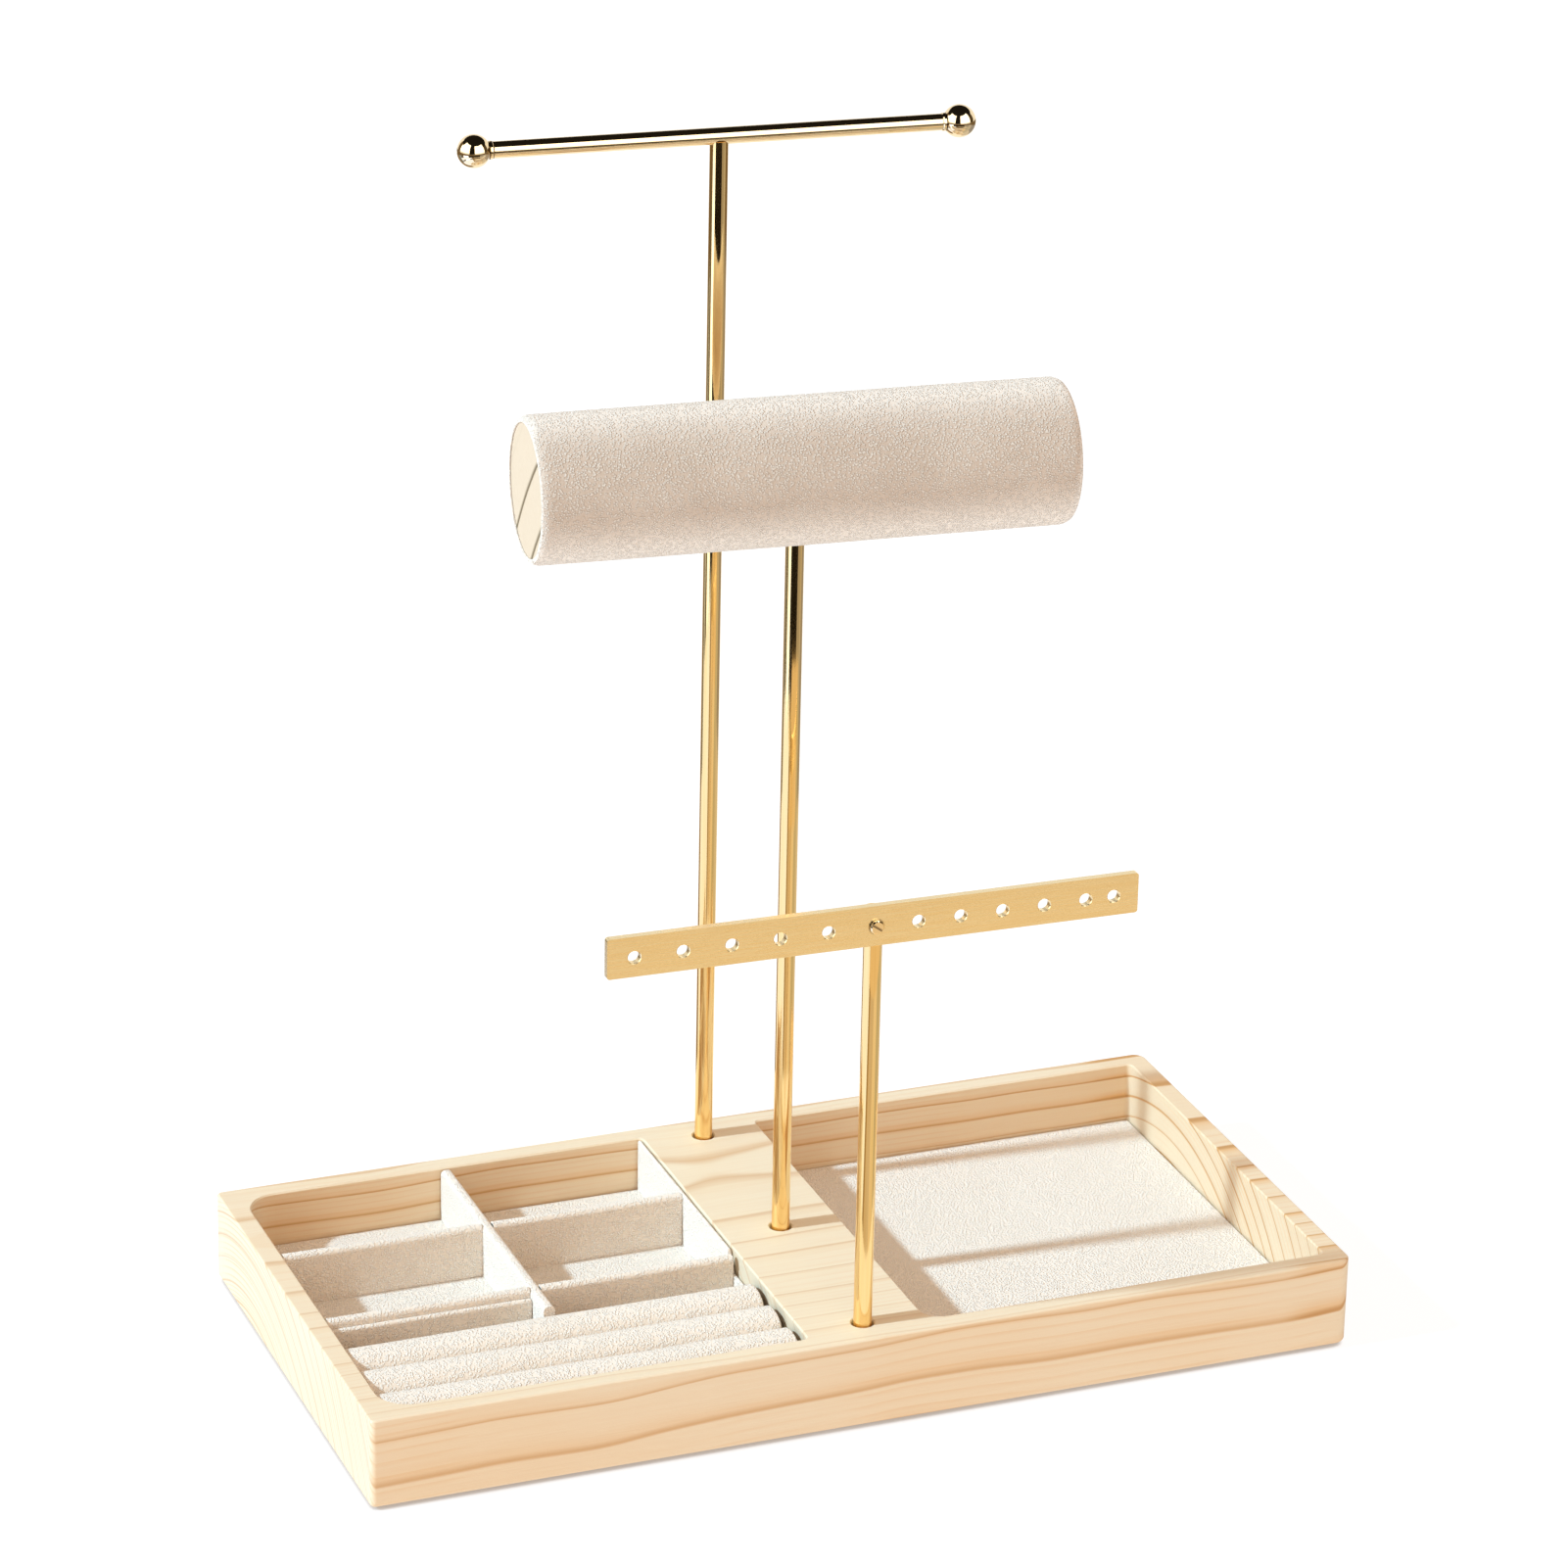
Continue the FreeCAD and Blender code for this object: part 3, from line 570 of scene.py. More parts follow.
@dataclass(frozen=True)
class Fibre:
    """Matt pressed stuff such as felt, card or foam, mottled at one grain size."""

    name: str
    light: Colour
    dark: Colour
    grain: float
    relief: float
    relief_strength: float = 0.5
    patch_share: float = 0.3

    def material(self, effects: Effects) -> bpy.types.Material:
        """Build the material.

        Args:
            effects: the shared node groups.

        Returns:
            The material.
        """
        material, bench, shader = open_material(self.name)
        pile = bench.group(effects.pile, Vector=bench.place(), Pebble_Size=self.grain)
        speckle = bench.plus(bench.times(pile["Pebble"], 1.0 - self.patch_share),
                             bench.times(pile["Crush"], self.patch_share))
        bench.fill(shader, Base_Color=bench.tint(speckle, self.dark, self.light),
                   Roughness=bench.span(speckle, 0.0, 1.0, 0.95, 0.85),
                   Normal=bench.bump(pile["Pebble"], self.relief, self.relief_strength))
        return material


# The pine gets the painted top light and end shade; the disc wood has neither.
PINE = Wood("pine_board", early=(0.88, 0.71, 0.50), warm=(0.88, 0.67, 0.44),
            glow=(0.80, 0.47, 0.20), core=(0.60, 0.31, 0.11), pith=(0.038, -0.050),
            spacing=0.0058, wander=0.008)
DISC_WOOD = Wood("pale_disc_wood", early=(0.75, 0.60, 0.455), warm=(0.74, 0.585, 0.435),
                 glow=(0.62, 0.47, 0.28), core=(0.10, 0.06, 0.02), pith=(-0.1137, 0.1375),
                 spacing=0.0147, wander=0.0, fade=0.10, core_width=0.08, unevenness=0.0,
                 sapwood=0.172, evenness=1.0, painted_top_light_share=0.0, end_grain_and_shade_share=0.0)
ROD_BRASS = Metal("brass_rod_metal", colour=(0.98, 0.70, 0.32), shade=(0.93, 0.64, 0.26),
                  roughness=0.08, brushing=Brushing.UP)
# The polished and the strip brass paint shade into their hollows through crease.
BALL_BRASS = Metal("polished_brass", colour=(0.95, 0.76, 0.48), shade=(0.92, 0.73, 0.44),
                   roughness=0.06, brushing=Brushing.ROUND, line_depth=0.000001, cloudiness=0.02,
                   crease=0.0008)
BAR_BRASS = Metal("brushed_brass_strip", colour=(0.99, 0.82, 0.50), shade=(0.95, 0.75, 0.42),
                  roughness=0.27, brushing=Brushing.ACROSS, line_depth=0.000005, crease=0.0007)
STEEL = Metal("screw_steel", colour=(0.62, 0.61, 0.60), shade=(0.48, 0.47, 0.46),
              roughness=0.32, brushing=Brushing.ROUND)
# Both velvets get a painted sheen through rim and its share; the roll's is stronger.
CREAM_VELVET = Velvet("cream_velvet_cloth", light=(1.0, 0.94, 0.87), deep=(0.92, 0.80, 0.68))
ROLL_VELVET = Velvet("roll_velvet_cloth", light=(0.88, 0.775, 0.675), deep=(0.61, 0.485, 0.39),
                     sheen=0.50, sheen_roughness=0.40, relief=0.00034, crush=0.24,
                     rim=(1.0, 0.915, 0.83), painted_sheen_share=0.80)
FELT = Fibre("felt_cloth", light=(0.16, 0.13, 0.11), dark=(0.07, 0.06, 0.05), grain=0.0012,
             relief=0.0003)
CARD = Fibre("grey_card", light=(0.62, 0.56, 0.48), dark=(0.50, 0.44, 0.37), grain=0.0007,
             relief=0.00005)
FOAM = Fibre("white_foam", light=(0.85, 0.83, 0.78), dark=(0.70, 0.67, 0.61), grain=0.0010,
             relief=0.0003)


class Palette:
    """Every finish's material, built once."""

    def __init__(self) -> None:
        """Build the materials."""
        effects = Effects()
        finishes = (PINE, DISC_WOOD, ROD_BRASS, BALL_BRASS, BAR_BRASS, STEEL, CREAM_VELVET,
                    ROLL_VELVET, FELT, CARD, FOAM)
        self.materials = {finish.name: finish.material(effects) for finish in finishes}

    def of(self, finish: object) -> bpy.types.Material:
        """The material of a finish."""
        return self.materials[finish.name]

    def dress(self, finish: object, *nodes: str) -> None:
        """Give CAD nodes a finish in place of their plain one.

        Args:
            finish: the finish.
            nodes: the nodes' names.
        """
        for node in nodes:
            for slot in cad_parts[node].material_slots:
                slot.material = self.of(finish)
            log.info("dressed %s in %s", node, finish.name)


# ------------------------------------------------------------------ numpy shapes
def ring_faces(rings: int, around: int, looped: bool) -> list:
    """Quads between neighbouring rings of points, and the two end faces.

    Args:
        rings: how many rings there are.
        around: how many points each has.
        looped: whether the last ring joins the first, so that there are no ends.

    Returns:
        The faces as lists of point numbers.
    """
    numbers = np.arange(rings * around).reshape(rings, around)
    after = np.roll(numbers, -1, axis=1)
    count = rings if looped else rings - 1
    quads = np.stack([numbers, after, np.roll(after, -1, axis=0), np.roll(numbers, -1, axis=0)],
                     axis=-1)
    faces = quads[:count].reshape(-1, 4).tolist()
    if not looped:
        faces += [numbers[0, ::-1].tolist(), numbers[-1].tolist()]
    return faces


def waves(points: np.ndarray, height: float, length: float, seed: int) -> np.ndarray:
    """Slow unevenness: the mean of a few sine waves that run in seeded directions.

    Args:
        points: places, with X, Y and Z last.
        height: the most that the result may be, either way.
        length: the waves' typical length.
        seed: number that picks the directions and phases.

    Returns:
        One height for each place.
    """
    source = np.random.default_rng(seed)
    directions = source.normal(size=(WAVE_COUNT, 3))
    directions /= np.linalg.norm(directions, axis=1, keepdims=True)
    lengths = length * source.uniform(0.6, 1.6, WAVE_COUNT)
    phases = source.uniform(0, 2 * np.pi, WAVE_COUNT)
    turns = points @ (directions * (2 * np.pi / lengths)[:, None]).T + phases
    return height * np.sin(turns).mean(axis=-1)


def put_up(name: str, data: bpy.types.ID) -> bpy.types.Object:
    """Make an object of a mesh, a lamp or a camera and add it to the scene."""
    thing = bpy.data.objects.new(name, data)
    bpy.context.collection.objects.link(thing)
    return thing


def seat(piece: bpy.types.Object, body: str, slot: str, *nodes: str) -> None:
    """Seat a new piece on its body.

    Args:
        piece: the piece.
        body: the body that it rides on.
        slot: not used.
        nodes: the CAD nodes that it stands for.
    """
    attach(piece, body)
    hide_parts(*nodes)
    log.info("built %s", piece.name)


def make_piece(name: str, rings: np.ndarray, looped: bool, material: bpy.types.Material,
               sharp: float = 50.0) -> bpy.types.Object:
    """Mesh object of rings of points, closed, smooth and facing outwards.

    Args:
        name: the piece's name.
        rings: points as (ring, place on ring, 3), in metres.
        looped: whether the last ring joins the first.
        material: its finish.
        sharp: degrees past which an edge stays sharp.

    Returns:
        The new object.
    """
    mesh = bpy.data.meshes.new(name)
    count, around = rings.shape[:2]
    mesh.from_pydata(rings.reshape(-1, 3).tolist(), [], ring_faces(count, around, looped))
    mesh.polygons.foreach_set("use_smooth", np.ones(len(mesh.polygons), dtype=bool))
    mesh.materials.append(material)
    mesh.update()
    if signed_volume(mesh) < 0:
        mesh.flip_normals()
    mesh.set_sharp_from_angle(angle=math.radians(sharp))
    return put_up(name, mesh)


def signed_volume(mesh: bpy.types.Mesh) -> float:
    """Volume inside a closed mesh: a sixth of each triangle's triple product, summed.

    Args:
        mesh: the closed mesh.

    Returns:
        The volume, below zero if the faces point inwards.
    """
    points = np.empty(len(mesh.vertices) * 3)
    mesh.vertices.foreach_get("co", points)
    points = points.reshape(-1, 3)
    mesh.calc_loop_triangles()
    triangles = np.empty(len(mesh.loop_triangles) * 3, dtype=np.int32)
    mesh.loop_triangles.foreach_get("vertices", triangles)
    a, b, c = (points[triangles[start::3]] for start in range(3))
    return float((a * np.cross(b, c)).sum() / 6)


def turned_about(points: np.ndarray, degrees: float, x: float, y: float) -> np.ndarray:
    """Points turned about an upright line.

    Args:
        points: places, with X, Y and Z last.
        degrees: the turn, anticlockwise from above.
        x: the line's X.
        y: the line's Y.

    Returns:
        The turned points.
    """
    angle = math.radians(degrees)
    east, north = points[..., 0] - x, points[..., 1] - y
    turned = points.copy()
    turned[..., 0] = x + east * math.cos(angle) - north * math.sin(angle)
    turned[..., 1] = y + east * math.sin(angle) + north * math.cos(angle)
    return turned


@dataclass(frozen=True)
class Box:
    """A node's box at rest, in metres."""

    low: tuple[float, float, float]
    high: tuple[float, float, float]

    @classmethod
    def of(cls, *nodes: str) -> "Box":
        """Box round one or more nodes.

        Args:
            nodes: the nodes' names.

        Returns:
            Their common box.
        """
        boxes = [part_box(node) for node in nodes]
        low = tuple(min(box[0][axis] for box in boxes) for axis in range(3))
        high = tuple(max(box[1][axis] for box in boxes) for axis in range(3))
        return cls(low, high)

    def size(self, axis: int) -> float:
        """Length along an axis."""
        return self.high[axis] - self.low[axis]

    def middle(self, axis: int) -> float:
        """Centre along an axis."""
        return (self.high[axis] + self.low[axis]) / 2

    def longer(self, extra: float) -> "Box":
        """The same box with its right side moved out."""
        return Box(self.low, (self.high[0] + extra, *self.high[1:]))


def end_stations(length: float, step: float, round_end: float) -> tuple[np.ndarray, np.ndarray]:
    """Places along a rounded bar, and how far each is drawn in.

    Near an end, at depth d of the rounding radius r, the section is drawn in by
    r - sqrt(r^2 - (r - d)^2), a quarter circle.

    Args:
        length: the bar's length.
        step: distance between places in its plain stretch.
        round_end: radius of the rounding at both ends.

    Returns:
        The places from 0 to length, and the drawing in at each.
    """
    turn = np.linspace(0, np.pi / 2, 7)
    near = round_end * (1 - np.cos(turn))
    plain = np.linspace(round_end, length - round_end, max(2, int(length / step)))[1:-1]
    places = np.concatenate([near, plain, length - near[::-1]])
    depth = np.minimum(np.minimum(places, length - places), round_end)
    inset = round_end - np.sqrt(np.maximum(round_end ** 2 - (round_end - depth) ** 2, 0))
    return places, inset


# ------------------------------------------------------------------ sub-assemblies
@dataclass
class TrayBase:
    """The routed pine block on its felt pads, with the washers under it."""

    palette: Palette

    def build(self) -> None:
        """Dress the block, pads and washers."""
        self.palette.dress(PINE, "tray_base")
        self.palette.dress(FELT, "felt_pads")
        self.palette.dress(STEEL, "post_washers")


@dataclass
class NecklaceArm:
    """Rear post with its crossbar and ball finials."""

    palette: Palette

    def build(self) -> None:
        """Dress the post, the crossbar, the balls and the screw."""
        self.palette.dress(ROD_BRASS, "necklace_post")
        self.palette.dress(BALL_BRASS, "necklace_crossbar", "left_ball_finial", "right_ball_finial")
        self.palette.dress(STEEL, "necklace_post_screw")


@dataclass
class BraceletArm:
    """Middle post with the velvet-covered roll."""

    palette: Palette
    turn: float = -5.6
    edge_round: float = 1.6 * MM
    edge_reach: float = 2.2 * MM
    lip: float = 0.5 * MM
    lip_gap: float = 0.1 * MM
    lip_tuck: float = 0.25 * MM
    swell: float = 0.12 * MM
    unevenness: float = 0.10 * MM
    drift_length: float = 45 * MM
    around: int = 144
    along: int = 96

    def sleeve(self) -> bpy.types.Object:
        """Velvet sleeve: a closed profile carried round the roll's axis.

        The profile runs out along the sleeve at its outer radius, which swells by a
        sine half-wave and wanders with slow waves, and round the end by a quarter
        ellipse. Its lip lies on the cap's edge, and it goes back along the foam's radius.

        Returns:
            The sleeve.
        """
        box = Box.of("roll_velvet")
        radius = box.size(2) / 2
        angle = math.radians(abs(self.turn))
        half = (box.size(0) / 2 - radius * math.sin(angle)) / math.cos(angle)
        inner = Box.of("roll_foam").size(2) / 2
        bend = np.linspace(0, np.pi / 2, 12)
        fold = bend[1::3]
        lip_x = half + self.lip_gap + (self.lip - self.lip_gap) * np.cos(fold)
        lip_r = radius - self.edge_round - self.lip_tuck * np.sin(fold)
        rounding_x = half - self.edge_reach + (self.edge_reach + self.lip) * np.sin(bend)
        rounding_r = radius - self.edge_round * (1 - np.cos(bend))
        rounding_x = np.concatenate([rounding_x, lip_x])
        rounding_r = np.concatenate([rounding_r, lip_r])
        plain_x = np.linspace(-half + self.edge_reach, half - self.edge_reach, self.along)[1:-1]
        outer_x = np.concatenate([-rounding_x[::-1], plain_x, rounding_x])
        outer_r = np.concatenate([rounding_r[::-1], np.full(plain_x.size, radius), rounding_r])
        share = np.clip((half - np.abs(outer_x)) / half, 0, 1)
        lift = -self.swell + self.swell * np.sin(share * np.pi / 2) ** 0.5
        inner_x = np.linspace(half + self.lip_gap, -half - self.lip_gap, self.along // 4)
        profile_x = np.concatenate([outer_x, inner_x])
        profile_r = np.concatenate([outer_r + lift, np.full(inner_x.size, inner)])
        outside = np.concatenate([share ** 0.25, np.zeros(inner_x.size)])
        angles = np.linspace(0, 2 * np.pi, self.around, endpoint=False)[:, None]
        points = np.empty((self.around, profile_x.size, 3))
        points[..., 0] = profile_x
        points[..., 1] = profile_r * np.sin(angles)
        points[..., 2] = profile_r * np.cos(angles)
        drift = waves(points, self.unevenness, self.drift_length, seed=11) * outside
        points[..., 1] += drift * np.sin(angles)
        points[..., 2] += drift * np.cos(angles) + box.middle(2)
        return make_piece("bracelet_roll_sleeve", turned_about(points, self.turn, 0, 0), True,
                          self.palette.of(ROLL_VELVET))

    def build(self) -> None:
        """Build the sleeve and dress the rest of the arm."""
        sleeve = self.sleeve()
        seat(sleeve, "bracelet_arm", "beige_velvet", "roll_velvet")
        self.palette.dress(ROD_BRASS, "bracelet_post")
        self.palette.dress(DISC_WOOD, "roll_left_cap", "roll_right_cap", "roll_block")
        self.palette.dress(CARD, "roll_tube")
        self.palette.dress(FOAM, "roll_foam")
        self.palette.dress(STEEL, "bracelet_post_screw")


@dataclass
class EarringArm:
    """Front post with the drilled strip."""

    palette: Palette

    def build(self) -> None:
        """Dress the post, the strip and both screws."""
        self.palette.dress(ROD_BRASS, "earring_post")
        self.palette.dress(BAR_BRASS, "earring_bar")
        self.palette.dress(BALL_BRASS, "earring_bar_screw")
        self.palette.dress(STEEL, "earring_post_screw")


@dataclass
class RingInsert:
    """Lift-out insert: lined board, wrapped dividers, strips and ring rolls."""

    palette: Palette
    skin: float = 0.6 * MM
    step: float = 3 * MM
    top_round: float = 1.3 * MM
    corner: float = 8.6 * MM
    tight_corner: float = 1.1 * MM
    roll_end_round: float = 0.6 * MM
    roll_squareness: float = 2.3
    roll_shoulder: float = 0.40
    slack: float = 0.12 * MM
    divider_reach: float = 0.35 * MM
    roll_reach: float = 0.7 * MM
    strip_front: float = 54 * MM
    strip_share: float = 0.62
    place: tuple[str, str] = ("ring_insert", "cream_velvet")

    def arch(self, width: float, height: float, radius: float, count: int = 9) -> np.ndarray:
        """Upright section with rounded shoulders, open at its foot.

        It runs from the foot of one side up, round a quarter circle of the given
        radius, across, round the other shoulder and down.

        Args:
            width: across the section.
            height: from its foot to its top.
            radius: of each shoulder.
            count: points in each shoulder.

        Returns:
            Points as (across, up).
        """
        bend = np.linspace(0, np.pi / 2, count)
        side = np.linspace(0, height - radius, 6)[:-1]
        rise = np.stack([np.full(side.size, -width / 2), side], axis=1)
        shoulder = np.stack([-width / 2 + radius * (1 - np.cos(bend)),
                             height - radius * (1 - np.sin(bend))], axis=1)
        half = np.concatenate([rise, shoulder])
        return np.concatenate([half, half[::-1] * (-1, 1)])

    def wrapped_panel(self, name: str, box: Box, along: int, seed: int) -> bpy.types.Object:
        """Velvet skin over a divider's board, closed at both ends and open below.

        Each ring is the outer arch and back along the inner one. At both ends the
        inner arch is laid flat on the foot, which closes the end.

        Args:
            name: the piece's name.
            box: the space that the skin fills.
            along: the axis that it runs along, 0 or 1.
            seed: number for its unevenness.

        Returns:
            The skin.
        """
        across = 1 - along
        width, height, length = box.size(across), box.size(2), box.size(along)
        shoulder = min(self.top_round, width / 2 * 0.95)
        outer = self.arch(width, height, shoulder)
        inner = self.arch(width - 2 * self.skin, height - self.skin,
                          shoulder - self.skin * 0.9)[::-1]
        floor = inner * (1, 0)
        hollow = np.concatenate([outer, inner])
        closed = np.concatenate([outer, floor])
        ends = np.array([0, self.skin])
        start = self.skin * 1.1
        inside = np.linspace(start, length - start, max(4, int(length / self.step)))
        places = np.concatenate([ends, inside, length - ends[::-1]])
        sections = np.array([closed] * 2 + [hollow] * inside.size + [closed] * 2)
        points = np.empty((places.size, hollow.shape[0], 3))
        points[..., along] = (box.low[along] + places)[:, None]
        points[..., across] = box.middle(across) + sections[..., 0]
        points[..., 2] = box.low[2] + sections[..., 1]
        share = np.clip(sections[..., 1] / height, 0, 1) * np.sin(np.pi * places / length)[:, None]
        points[..., across] += waves(points, self.slack, 0.03, seed) * share
        points[..., 2] += (waves(points, self.slack, 0.02, seed + 1) - self.slack) * share
        return make_piece(name, points, False, self.palette.of(CREAM_VELVET))

    def ring_roll(self, name: str, box: Box, seed: int) -> bpy.types.Object:
        """Stuffed ring roll: a rounded section along X that tucks in at both ends.

        The section is half a superellipse over straight sides. At the insert's front
        left its end follows the pocket's rounded corner.

        Args:
            name: the piece's name.
            box: the space that the roll fills.
            seed: number for its unevenness.

        Returns:
            The roll.
        """
        width, height, length = box.size(1), box.size(2), box.size(0)
        angle = np.linspace(np.pi, 0, 33)
        power = 2 / self.roll_squareness
        across = np.sign(np.cos(angle)) * np.abs(np.cos(angle)) ** power * width / 2
        arch_height = width * self.roll_shoulder
        up = height - arch_height + np.sin(angle) ** power * arch_height
        foot = np.linspace(1, -1, 9)[1:-1] * width / 2
        section = np.stack([np.concatenate([[-width / 2], across, [width / 2], foot]),
                            np.concatenate([[0], up, [0], np.zeros(foot.size)])], axis=1)
        places, inset = end_stations(length, 2.2 * MM, self.roll_end_round)
        squeeze = (1 - 2 * inset / width)[:, None]
        lower = (1 - inset / height)[:, None]
        points = np.empty((places.size, section.shape[0], 3))
        points[..., 0] = (box.low[0] + places)[:, None]
        points[..., 1] = box.middle(1) + section[:, 0] * squeeze
        points[..., 2] = box.low[2] + section[:, 1] * lower
        crest = np.clip(section[:, 1] / height, 0, 1) ** 2
        sag = (waves(points, self.slack * 1.6, 0.035, seed) - self.slack) * crest
        points[..., 2] += sag * np.sin(np.pi * places / length)[:, None] ** 0.3
        reach = np.clip(self.corner - places, 0, None)[:, None]
        notch = self.corner - np.sqrt(np.maximum(self.corner ** 2 - reach ** 2, 0))
        insert_front = Box.of("insert_board").low[1]
        points[..., 1] = np.maximum(points[..., 1], insert_front + notch)
        return make_piece(name, points, False, self.palette.of(CREAM_VELVET))

    def strip(self, name: str, box: Box, along: int, seed: int) -> bpy.types.Object:
        """Thin velvet-covered strip with rounded shoulders.

        One that runs along Y steps down to a share of its height beside the ring rolls.

        Args:
            name: the piece's name.
            box: the space that the strip fills.
            along: the axis that it runs along, 0 or 1.
            seed: number for its unevenness.

        Returns:
            The strip.
        """
        across = 1 - along
        section = self.arch(box.size(across), box.size(2), box.size(across) * 0.48)
        places, inset = end_stations(box.size(along), self.step, box.size(across) * 0.3)
        squeeze = (1 - 2 * inset / box.size(across))[:, None]
        points = np.empty((places.size, section.shape[0], 3))
        points[..., along] = (box.low[along] + places)[:, None]
        points[..., across] = box.middle(across) + section[:, 0] * squeeze
        points[..., 2] = box.low[2] + section[:, 1] * (1 - inset / box.size(2))[:, None]
        points[..., 2] -= np.abs(waves(points, self.slack, 0.025, seed)) * (section[:, 1] > 0)
        if along:
            slope = (self.strip_front - 1 * MM, self.strip_front)
            rise = np.interp(places, slope, (self.strip_share, 1.0))
            points[..., 2] = box.low[2] + (points[..., 2] - box.low[2]) * rise[:, None]
        return make_piece(name, points, False, self.palette.of(CREAM_VELVET))

    def build(self) -> None:
        """Build every velvet piece and dress the boards."""
        corners = (self.tight_corner, self.corner, self.corner, self.tight_corner)
        lining = laid_velvet("insert_lining_velvet", Box.of("insert_lining"), corners,
                             self.palette.of(CREAM_VELVET), 21)
        seat(lining, *self.place, "insert_lining")
        Box.of("insert_lining")
        panels = (("long_divider", 1), ("rear_left_divider", 0), ("rear_right_divider", 0),
                  ("front_left_divider", 0), ("front_right_divider", 0))
        for seed, (name, along) in enumerate(panels, start=31):
            box = Box.of(name + "_velvet").longer(self.divider_reach * ("right" in name))
            panel = self.wrapped_panel(name + "_skin", box, along, seed)
            seat(panel, *self.place, name + "_velvet")
            wrap = 2 * box.size(2) + box.size(1 - along)
            board = "long_divider_board" if along else name.split("_")[0] + "_divider_board"
            box.size(along)
        for seed, place in enumerate(("front", "middle", "rear"), start=51):
            nodes = [f"{place}_ring_roll_velvet", f"{place}_ring_roll_foam"]
            box = Box.of(nodes[0]).longer(self.roll_reach)
            roll = self.ring_roll(f"{place}_ring_roll_cushion", box, seed)
            seat(roll, *self.place, *nodes)
        strips = (("front_left_strip", 0), ("right_side_strip", 1))
        for seed, (name, along) in enumerate(strips, start=61):
            strip = self.strip(name + "_velvet", Box.of(name), along, seed)
            seat(strip, *self.place, name)
        self.palette.dress(CARD, "insert_board", "long_divider_board", "rear_divider_board",
                           "front_divider_board")


def laid_velvet(name: str, box: Box, corners: Sequence[float], material: bpy.types.Material,
                seed: int) -> bpy.types.Object:
    """Thin velvet glued flat: a rectangle with four rounded corners and a soft rim.

    Each ring is the rectangle's outline drawn towards its middle. The rings run
    from the middle out over the top, round the rim by a half circle and back in
    underneath. The top rises and falls with slow waves.

    Args:
        name: the piece's name.
        box: the space that it fills.
        corners: radii of the back right, back left, front left and front right corner.
        material: its finish.
        seed: number for its unevenness.

    Returns:
        The velvet.
    """
    half_x, half_y, thick = box.size(0) / 2, box.size(1) / 2, box.size(2)
    bend = np.linspace(0, np.pi / 2, 9)
    signs = ((1, 1), (-1, 1), (-1, -1), (1, -1))
    quarters = bend + np.arange(4)[:, None] * np.pi / 2
    arcs = [np.stack([sign_x * (half_x - radius) + radius * np.cos(angle),
                      sign_y * (half_y - radius) + radius * np.sin(angle)], axis=1)
            for angle, (sign_x, sign_y), radius in zip(quarters, signs, corners)]
    sides = [np.linspace(arc[-1], arcs[(quarter + 1) % 4][0], 26)[1:-1]
             for quarter, arc in enumerate(arcs)]
    outline = np.concatenate([part for pair in zip(arcs, sides) for part in pair])
    shares = np.linspace(0.03, 1, 40)
    back = shares[::-4]
    rim = thick / 2
    over = np.linspace(np.pi / 2, -np.pi / 2, 9)[1:-1]
    inset = np.concatenate([rim + (1 - shares) * (half_x - rim), rim * (1 - np.cos(over)),
                            rim + (1 - back) * (half_x - rim)])
    level = np.concatenate([np.full(shares.size, thick), rim * (1 + np.sin(over)),
                            np.zeros(back.size)])
    scale_x = np.clip((half_x - inset) / half_x, 0.01, 1)[:, None]
    scale_y = np.clip((half_y - inset * half_y / half_x) / half_y, 0.01, 1)[:, None]
    points = np.empty((inset.size, outline.shape[0], 3))
    points[..., 0] = box.middle(0) + outline[:, 0] * scale_x
    points[..., 1] = box.middle(1) + outline[:, 1] * scale_y
    points[..., 2] = box.low[2] + level[:, None]
    top = (level > rim)[:, None] * np.clip(inset / (2 * MM), 0, 1)[:, None]
    points[..., 2] += (waves(points, 0.10 * MM, 0.05, seed) - 0.05 * MM) * top
    return make_piece(name, points, False, material)


@dataclass
class TrayPad:
    """Velvet-covered card that lies loose in the right pocket."""

    palette: Palette
    corner: float = 5.6 * MM
    tight_corner: float = 1.1 * MM

    def build(self) -> None:
        """Build the velvet and dress the card."""
        box = Box.of("pad_velvet")
        corners = (self.tight_corner, self.tight_corner, self.corner, self.tight_corner)
        velvet = laid_velvet("tray_pad_velvet", box, corners, self.palette.of(CREAM_VELVET), 71)
        seat(velvet, "tray_pad", "cream_velvet", "pad_velvet")
        self.palette.dress(CARD, "pad_board")


# ------------------------------------------------------------------------ studio
@dataclass(frozen=True)
class Viewpoint:
    """Where the camera stands and how it is tilted."""

    yaw: float = -21.74
    pitch: float = 22.57
    roll: float = 1.20
    distance: float = 1.622351
    target: tuple[float, float, float] = (-0.001664, 0.0, 0.157486)
    lens: float = 140.43
    sensor: float = 36.0
    nearest: float = 0.01

    def camera(self) -> None:
        """Make the camera and set it on the scene."""
        yaw, pitch, roll = (math.radians(value) for value in (self.yaw, self.pitch, self.roll))
        level = math.cos(pitch)
        back = Vector((math.sin(yaw) * level, -math.cos(yaw) * level, math.sin(pitch)))
        right = Vector((math.cos(yaw), math.sin(yaw), 0))
        above = back.cross(right)
        tilted_right = right * math.cos(roll) + above * math.sin(roll)
        tilted_up = above * math.cos(roll) - right * math.sin(roll)
        data = bpy.data.cameras.new("studio_camera")
        data.lens = self.lens
        data.sensor_width = self.sensor
        data.clip_start = self.nearest
        camera = put_up("studio_camera", data)
        turn = Matrix((tilted_right, tilted_up, back)).transposed().to_4x4()
        camera.matrix_world = Matrix.Translation(Vector(self.target) + back * self.distance) @ turn
        bpy.context.scene.camera = camera


